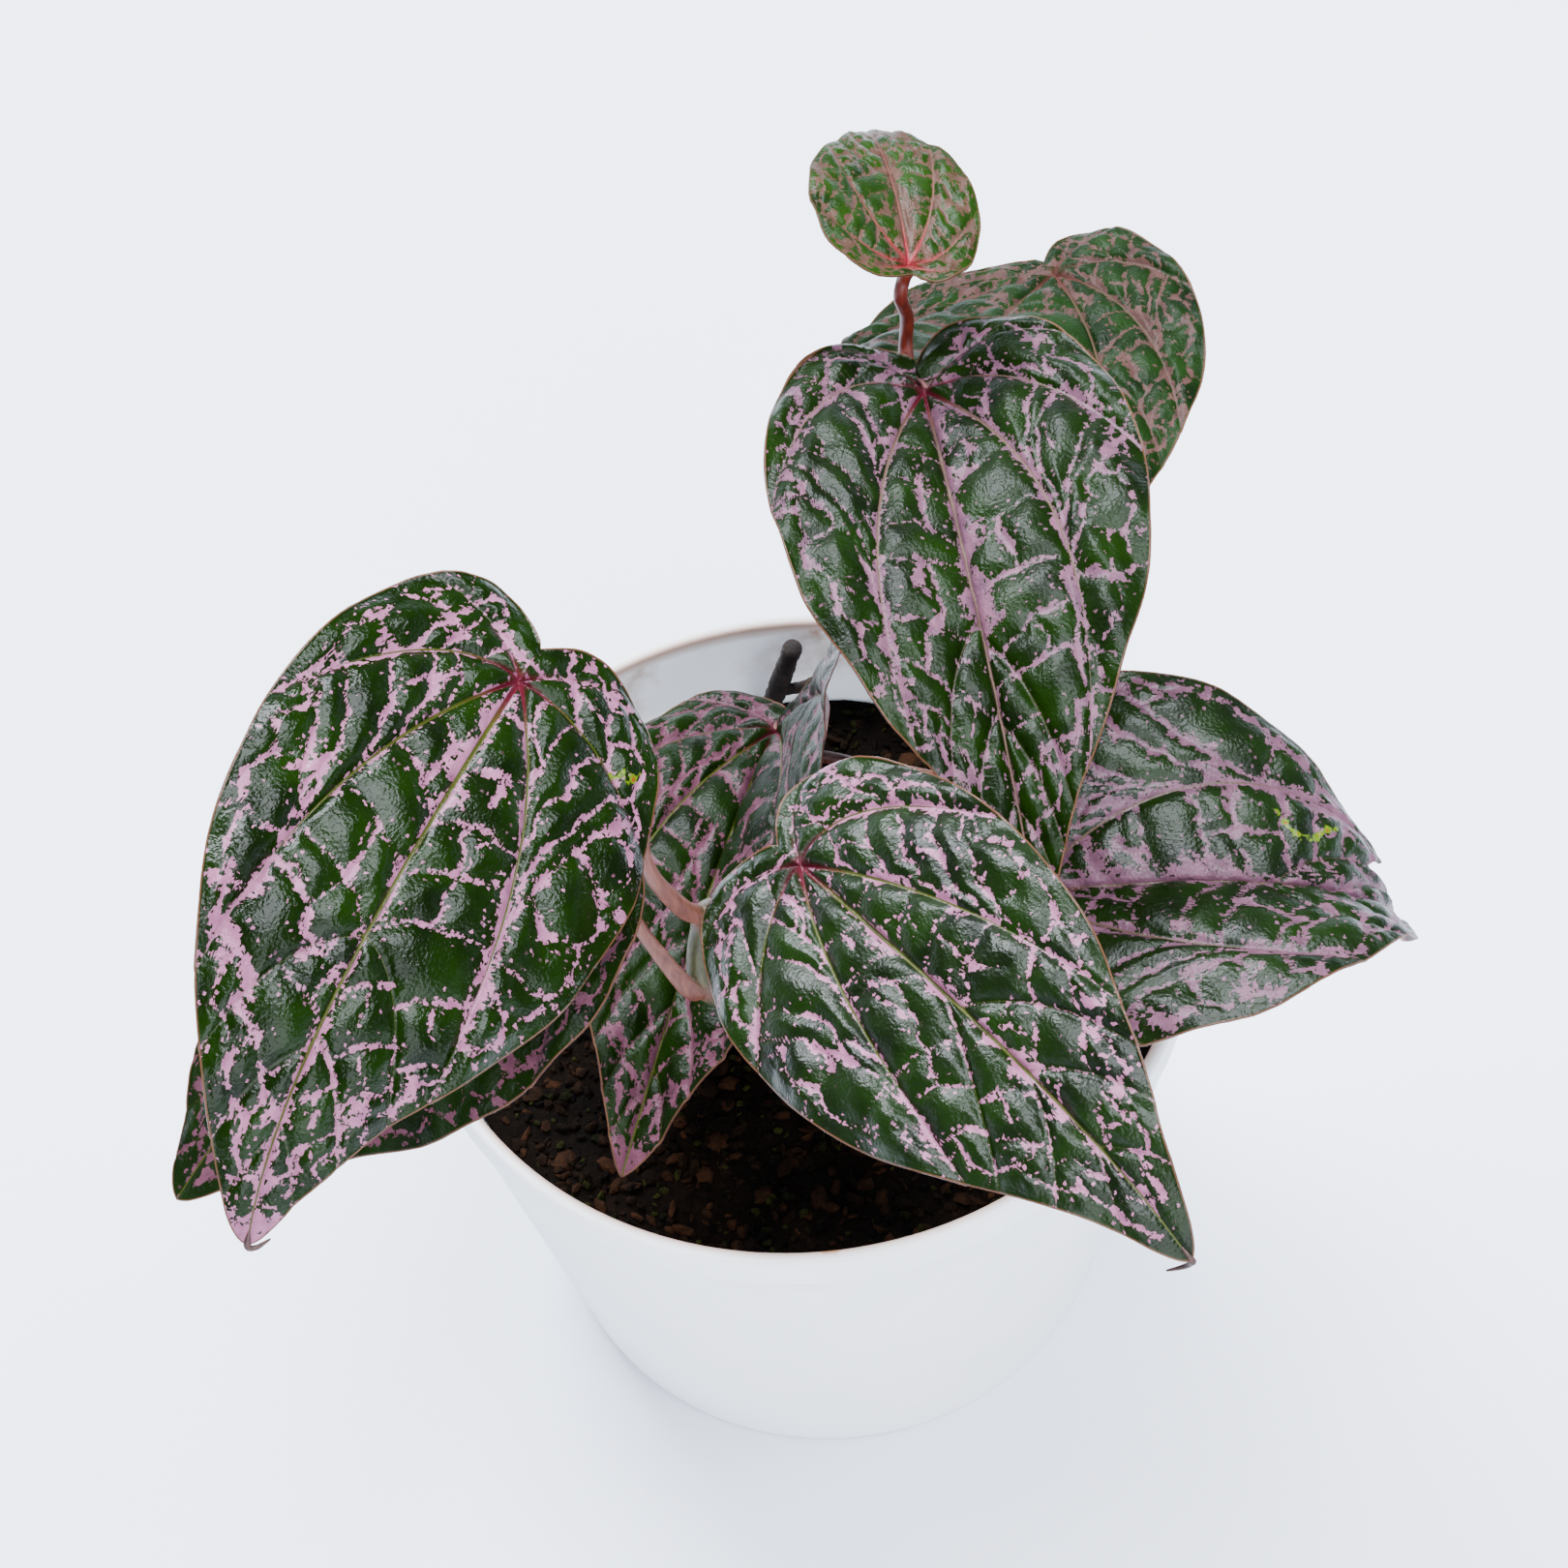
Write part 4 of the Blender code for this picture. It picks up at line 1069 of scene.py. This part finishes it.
def wall_radius(height):
    """Outer radius of the tapered wall."""
    return FOOT_RADIUS + (RIM_RADIUS - BAND_STEP - FOOT_RADIUS) * height / (POT_HEIGHT - BAND_HEIGHT)


def inner_radius(height):
    """Inner radius of the pot, from the floor to the lip."""
    foot = wall_radius(FLOOR) - WALL
    return foot + (RIM_RADIUS - LIP_WIDTH - foot) * (height - FLOOR) / (POT_HEIGHT - FLOOR)


def corner(centre, radius, start, end, steps):
    """Points on a small arc of a profile; angles in degrees from the radial direction."""
    angles = np.radians(np.linspace(start, end, steps))
    return [(centre[0] + radius * math.cos(a), centre[1] + radius * math.sin(a)) for a in angles]


def lathe(name, profile, segments, mat):
    """Closed solid turned about Z from (radius, height) points that start and end on the axis."""
    points, faces, rings = [], [], []
    for radius, height in profile:
        if radius == 0.0:
            rings.append([len(points)])
            points.append((0.0, 0.0, height))
            continue
        angles = 2 * np.pi * np.arange(segments) / segments
        rings.append(list(range(len(points), len(points) + segments)))
        points += [(radius * math.cos(a), radius * math.sin(a), height) for a in angles]
    for low, high in zip(rings, rings[1:]):
        for k in range(segments):
            n = (k + 1) % segments
            if len(low) == 1:
                faces.append((low[0], high[n], high[k]))
            elif len(high) == 1:
                faces.append((low[k], low[n], high[0]))
            else:
                faces.append((low[k], low[n], high[n], high[k]))
    return piece(name, points, faces, (), mat)


def build_pot(mat):
    """Nursery pot with a rolled lip, a band, a moulded line under it and drain holes."""
    band = POT_HEIGHT - BAND_HEIGHT
    inner_lip = inner_radius(POT_HEIGHT) + INNER_LIP_ROUND
    line_foot, line_crest, line_head = (band - depth for depth in LINE_DEPTHS)
    profile = [
        (0.0, 0.0), (FOOT_RADIUS - FOOT_ROUND, 0.0),
        *corner((FOOT_RADIUS - FOOT_ROUND, FOOT_ROUND), FOOT_ROUND, -60, 0, 4),
        *((wall_radius(h), h) for h in (*OUTER_RINGS, line_foot)),
        (wall_radius(line_crest) + LINE_HEIGHT, line_crest),
        (wall_radius(line_head), line_head), (wall_radius(band), band),
        *corner((RIM_RADIUS - BAND_ROUND, band + BAND_LIFT), BAND_ROUND, -60, 0, 4),
        *corner((RIM_RADIUS - LIP_ROUND, POT_HEIGHT - LIP_ROUND), LIP_ROUND, 0, 90, 6),
        *corner((inner_lip, POT_HEIGHT - INNER_LIP_ROUND), INNER_LIP_ROUND, 90, 180, 5),
        *((inner_radius(h), h) for h in (*INNER_RINGS, FLOOR + FLOOR_ROUND[1])),
        (inner_radius(FLOOR) - FLOOR_ROUND[0], FLOOR), (0.0, FLOOR)]
    pot = lathe("nursery_pot", profile, POT_SIDES, mat)
    drills = []
    for k in range(DRAIN_HOLES):
        angle = 2 * math.pi * (k + 0.5) / DRAIN_HOLES
        centre = Vector((DRAIN_CIRCLE * math.cos(angle), DRAIN_CIRCLE * math.sin(angle), FLOOR / 2)) * MM
        bm = bmesh.new()
        bmesh.ops.create_cone(bm, cap_ends=True, segments=DRAIN_SIDES, radius1=DRAIN_RADIUS * MM,
                              radius2=DRAIN_RADIUS * MM, depth=3 * FLOOR * MM,
                              matrix=Matrix.Translation(centre))
        mesh = bpy.data.meshes.new("drill")
        bm.to_mesh(mesh)
        bm.free()
        drills.append(bpy.data.objects.new("drill", mesh))
    apply_boolean(pot, "DIFFERENCE", drills)
    pot.data.set_sharp_from_angle(angle=math.radians(SHARP_ANGLE))
    return pot


def apply_boolean(obj, operation, others):
    """Boolean one object with several others, then remove the others."""
    group = bpy.data.collections.new(obj.name + "_tools")
    for other in others:
        group.objects.link(other)
    mod = obj.modifiers.new("Boolean", "BOOLEAN")
    mod.operation = operation
    mod.operand_type = "COLLECTION"
    mod.collection = group
    mod.solver = "EXACT"
    bpy.context.view_layer.update()
    depsgraph = bpy.context.evaluated_depsgraph_get()
    mesh = bpy.data.meshes.new_from_object(obj.evaluated_get(depsgraph))
    obj.modifiers.clear()
    obj.data = mesh
    for other in others:
        bpy.data.objects.remove(other)
    bpy.data.collections.remove(group)


# Potting mix

SOIL_RNG = np.random.default_rng(23)
SOIL_WAVES = [(value_noise(SOIL_RNG, 130.0, pitch), height) for pitch, height in CRUMB_WAVES]


def soil_height(x, y):
    """Height in mm of the crumbly surface."""
    radius = np.hypot(x, y)
    edge = inner_radius(SOIL_LEVEL) - SEAT_GAP
    level = SOIL_LEVEL + SOIL_CROWN * (1.0 - (radius / edge) ** 2)
    return level + sum(height * wave(x, y) for wave, height in SOIL_WAVES)


def build_soil(mat):
    """The body of the mix: a rough top in rings, a plain side and bottom."""
    edge = inner_radius(SOIL_LEVEL) - SEAT_GAP
    points = [(0.0, 0.0, float(soil_height(0.0, 0.0)))]
    angles = 2 * np.pi * np.arange(SOIL_SIDES) / SOIL_SIDES
    for k in range(1, SOIL_RINGS + 1):
        radius = edge * k / SOIL_RINGS
        x, y = radius * np.cos(angles), radius * np.sin(angles)
        points += np.stack([x, y, soil_height(x, y)], 1).tolist()
    low = FLOOR + SEAT_GAP
    base = inner_radius(low) - SEAT_GAP
    points += [(base * math.cos(a), base * math.sin(a), low) for a in angles]
    points.append((0.0, 0.0, low))
    faces = []
    foot = 1 + SOIL_RINGS * SOIL_SIDES
    for j in range(SOIL_SIDES):
        n = (j + 1) % SOIL_SIDES
        faces.append((0, 1 + j, 1 + n))
        for a in range(1, foot, SOIL_SIDES):
            b = a + SOIL_SIDES
            faces.append((a + j, b + j, b + n, a + n))
        faces.append((foot + j, len(points) - 1, foot + n))
    tone = SOIL_TONES[0] + SOIL_TONES[1] * SOIL_RNG.random(len(points))
    return piece("potting_mix", points, faces, {"tone": tone}, mat)


def scatter(name, rng, count, sizes, flatness, tones, mat, sink):
    """Many small angular bits lying on the mix, as one mesh of closed bodies."""
    ball = np.array(BIT_CORNERS)
    ball = ball / np.linalg.norm(ball[0])
    points, faces, tone = [], [], []
    edge = inner_radius(SOIL_LEVEL) - BIT_MARGIN
    for _ in range(count):
        radius = edge * math.sqrt(rng.random())
        angle = 2 * math.pi * rng.random()
        x, y = radius * math.cos(angle), radius * math.sin(angle)
        size = sizes[0] * (sizes[1] / sizes[0]) ** rng.random()
        shape = ball * rng.uniform(*BIT_UNEVENNESS, (len(ball), 1))
        shape = shape * np.array([size, size * rng.uniform(*BIT_WIDTHS), size * rng.uniform(*flatness)]) / 2
        turn = Matrix.Rotation(rng.uniform(0, 2 * math.pi), 3, "Z")
        tilt = Matrix.Rotation(rng.normal(0, BIT_TILT), 3, "X")
        shape = shape @ np.array(turn @ tilt).T
        start = len(points)
        points += (shape + np.array([x, y, float(soil_height(x, y)) + size * sink])).tolist()
        faces += [tuple(start + v for v in face) for face in BIT_FACES]
        tone += [rng.uniform(*tones)] * len(ball)
    obj = piece(name, points, faces, {"tone": tone}, mat)
    obj.data.shade_flat()
    return obj


# Stems

def tube(route, radius_at, sides):
    """Points and faces of a closed round tube; radius_at takes the length share and the point."""
    lengths = [0.0]
    for a, b in zip(route, route[1:]):
        lengths.append(lengths[-1] + (b - a).length)
    side = Vector((0.0, 0.0, 1.0)).cross(route[1] - route[0])
    side = side.normalized() if side.length > 0.0 else Vector((1.0, 0.0, 0.0))
    points = []
    for k, point in enumerate(route):
        ahead = route[min(k + 1, len(route) - 1)] - route[max(k - 1, 0)]
        ahead.normalize()
        side = (side - ahead * side.dot(ahead)).normalized()
        across = ahead.cross(side)
        radius = radius_at(lengths[k] / lengths[-1], point)
        for j in range(sides):
            angle = 2 * math.pi * j / sides
            points.append(point + radius * (math.cos(angle) * side + math.sin(angle) * across))
    faces = []
    for k in range(len(route) - 1):
        for j in range(sides):
            n = (j + 1) % sides
            faces.append((k * sides + j, k * sides + n, (k + 1) * sides + n, (k + 1) * sides + j))
    faces.append(tuple(range(sides - 1, -1, -1)))
    last = (len(route) - 1) * sides
    faces.append(tuple(range(last, last + sides)))
    return [tuple(p) for p in points], faces


def petiole_route(leaf, points):
    """From inside the stem to the underside of the hub, meeting the blade square."""
    rib = rib_frames(BLADES[leaf])
    ahead, up = Vector(rib["ahead"][0]), Vector(rib["up"][0])
    hub = Vector(BLADES[leaf].hub) - up * (MIDDLE_THICKNESS / 2 + UNDER_RIB)
    arrival = hub - up * HUB_APPROACH / 2
    knee = hub - up * HUB_APPROACH - ahead * HUB_KNEE_BACK
    return smooth_route([*points, knee, arrival, hub], PETIOLE_STEP)


def joined(name, body, branches, mat):
    """One closed piece from the tube of a body and the tubes of its branches."""
    obj = piece(name, *tube(*body), (), mat)
    others = [piece(name + "_branch", *tube(*branch), (), mat) for branch in branches]
    for other in others:
        bpy.context.scene.collection.objects.unlink(other)
    apply_boolean(obj, "UNION", others)
    return obj


def rooted(route, depth, step=STEM_STEP):
    """The smooth route of a stem, with a straight end in the mix."""
    return [Vector(route[0]) - Vector((0.0, 0.0, depth))] + smooth_route(route, step)


def build_stem(name, mat):
    """A stem with its petioles, grown as one."""

    def stem_radius(share, point):
        taper = STEM_RADIUS + (STEM_TIP_RADIUS - STEM_RADIUS) * share
        swell = sum(math.exp(-((point.z - z) / JOINT_SPAN) ** 2) for z in JOINTS[name])
        return taper + (JOINT_SWELL * swell if point.z > SOIL_LEVEL + JOINT_FREE_HEIGHT else 0.0)

    def petiole_radius(share, _point):
        taper = min(1.0, share / PETIOLE_TAPER_SHARE)
        flare = HUB_FLARE * math.exp(-((1.0 - share) / HUB_FLARE_SHARE) ** 2)
        return PETIOLE_BASE_RADIUS + (PETIOLE_HUB_RADIUS - PETIOLE_BASE_RADIUS) * taper + flare

    route = rooted(STEMS[name], ROOT_DEPTH)
    routes = {leaf: petiole_route(leaf, points) for leaf, points in PETIOLES[name].items()}
    branches = [(line, petiole_radius, PETIOLE_SIDES) for line in routes.values()]
    obj = joined(name + "_skin", (route, stem_radius, STEM_SIDES), branches, mat)
    mark_stem(obj, name, route, routes)
    return obj


def mark_stem(obj, name, route, routes):
    """Attributes of the skin: how far it is petiole, young or joint."""
    mesh = obj.data
    co = np.zeros(len(mesh.vertices) * 3, np.float32)
    mesh.vertices.foreach_get("co", co)
    co = co.reshape(-1, 3) / MM

    def gap(line):
        line = np.array([tuple(p) for p in line])
        return np.sqrt(((co[:, None] - line[None]) ** 2).sum(2)).min(1)

    stem_gap = gap(route)
    petiole_gap = np.min([gap(r) for r in routes.values()], axis=0)
    values = {"petiole": unit((stem_gap - petiole_gap) / SKIN_BLEND),
              "joint": np.zeros(len(co)), "young": np.zeros(len(co))}
    for z in JOINTS[name]:
        ring = np.exp(-((co[:, 2] - z) / JOINT_RING) ** 2) * (stem_gap < STEM_RADIUS + JOINT_REACH)
        values["joint"] = np.maximum(values["joint"], JOINT_STRENGTH * ring)
    if "leaf_young" in routes:
        own = gap(routes["leaf_young"])
        values["young"] = unit((stem_gap - own) / SKIN_BLEND) * (own < petiole_gap + 0.01)
    for key, data in values.items():
        slot = mesh.attributes.new(key, "FLOAT", "POINT")
        slot.data.foreach_set("value", data.astype(np.float32))


def build_stub(mat):
    """Dried stub with a short side twig."""
    bumps = np.random.default_rng(7).uniform(*STUB_ROUGHNESS, 400)

    def stub_radius(share, _point):
        return (STUB_RADIUS + (STUB_TIP_RADIUS - STUB_RADIUS) * share) * float(bumps[int(share * STUB_BUMPS)])

    def twig_radius(share, _point):
        return TWIG_RADIUS * (1.0 - TWIG_TAPER * share) * float(bumps[100 + int(share * TWIG_BUMPS)])

    twig = (smooth_route(TWIG_ROUTE, STEM_STEP), twig_radius, TWIG_SIDES)
    stub = (rooted(STUB_ROUTE, ROOT_DEPTH / 2), stub_radius, STUB_SIDES)
    return joined("dried_stub", stub, [twig], mat)


def build_drip_tip(name, mat):
    """The dried, hooked end of a blade."""
    rib = rib_frames(BLADES[name])
    tip, ahead, up = (Vector(rib[key][-1]) for key in ("place", "ahead", "up"))
    start = tip - ahead * DRIP_ROOT - up * MIDDLE_THICKNESS / 2
    route = smooth_route([start, *(tip + Vector(step) for step in DRIP_TIPS[name])], 0.25)

    def tip_radius(share, _point):
        return DRIP_RADIUS * min(1.0, 0.35 + 2.0 * share) * (1.0 - 0.75 * share ** 2)

    return piece(name + "_drip_tip", *tube(route, tip_radius, 12), (), mat)


# Scene

def build_camera():
    """The photograph's view of the pot's rim."""
    elevation, roll = math.radians(CAMERA_ELEVATION), math.radians(CAMERA_ROLL)
    ahead = Vector((0.0, math.cos(elevation), -math.sin(elevation)))
    right = Vector((1.0, 0.0, 0.0))
    up = Vector((0.0, math.sin(elevation), math.cos(elevation)))
    image_right = math.cos(roll) * right + math.sin(roll) * up
    image_up = math.cos(roll) * up - math.sin(roll) * right
    across = (RIM_PIXEL[0] - PHOTO_SIZE / 2) / FOCAL_PIXELS
    down = (RIM_PIXEL[1] - PHOTO_SIZE / 2) / FOCAL_PIXELS
    ray = ahead + image_right * across - image_up * down
    place = (Vector((0.0, 0.0, POT_HEIGHT)) - ray * RIM_DEPTH) * MM
    data = bpy.data.cameras.new("camera")
    data.sensor_width = SENSOR
    data.lens = SENSOR * FOCAL_PIXELS / PHOTO_SIZE
    data.clip_start = NEAREST_SIGHT
    camera = bpy.data.objects.new("camera", data)
    turn = Matrix((image_right, image_up, -ahead)).transposed().to_4x4()
    camera.matrix_world = Matrix.Translation(place) @ turn
    bpy.context.scene.collection.objects.link(camera)
    bpy.context.scene.camera = camera


def build_studio():
    """Plain pale floor, painted and matt, and soft lights."""
    mat, tree, shader = new_material("pale_floor_paint")
    connect(tree, shader, {"Base Color": "#e8edf6", "Roughness": 0.8})
    bpy.ops.mesh.primitive_circle_add(vertices=128, radius=FLOOR_SIZE, fill_type="NGON")
    floor = bpy.context.object
    floor.name = "floor"
    floor.data.materials.append(mat)
    world = bpy.data.worlds.new("studio")
    world.use_nodes = True
    tree = world.node_tree
    # Brighter towards the horizon, as a white sweep behind the table would be
    height = add(tree, "SeparateXYZ", {0: add(tree, "TexCoord").outputs["Generated"]}).outputs["Z"]
    glow = add(tree, "MapRange", {0: height, 1: 0.30, 2: 0.0, 3: 0.28, 4: 2.1},
               interpolation_type="SMOOTHSTEP")
    connect(tree, tree.nodes["Background"], {"Color": "#d6e2f2", "Strength": glow})
    bpy.context.scene.world = world
    for name, (place, size, power) in LIGHTS.items():
        data = bpy.data.lights.new(name, "AREA")
        data.size = size
        data.energy = power
        data.color = colour("#f2f6ff")[:3]
        light = bpy.data.objects.new(name, data)
        light.location = place
        light.rotation_euler = (Vector(LIGHT_TARGET) - Vector(place)).to_track_quat("-Z", "Y").to_euler()
        bpy.context.scene.collection.objects.link(light)


def settle(obj, slot, *nodes):
    """Let a piece ride and stand for its solids; its slot is not used."""
    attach(obj, "root")
    if nodes:
        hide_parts(*nodes)


def main():
    settle(build_pot(pot_material()), "pot_plastic", "pot")
    compost = soil_material("damp_bark_compost", "#030201", "#150c06", 0.95)
    settle(build_soil(compost), "potting_soil", "soil")
    rng = np.random.default_rng(5)
    for name, (stuff, count, sizes, flatness, tones, dark, light, sink) in MIX_BITS.items():
        mat = soil_material(stuff, dark, light, 0.9)
        settle(scatter(name, rng, count, sizes, flatness, tones, mat, sink), "potting_soil")
    stem = stem_material()
    for name in STEMS:
        settle(build_stem(name, stem), "stem", name)
    settle(build_stub(dead_stem_material()), "dead_stem", "dry_stub")
    skins = {name: leaf_material(name, {**GROWN, **own}, *gloss) for name, (own, *gloss) in SKINS.items()}
    for seed, name in enumerate(BLADES):
        blade = build_blade(name, skins[LEAF_SKINS[name]], seed + 1)
        settle(blade, "young_leaf" if name == "leaf_young" else "leaf", name)
    dried = drip_tip_material()
    for name in DRIP_TIPS:
        settle(build_drip_tip(name, dried), "leaf")
    build_camera()
    build_studio()


main()
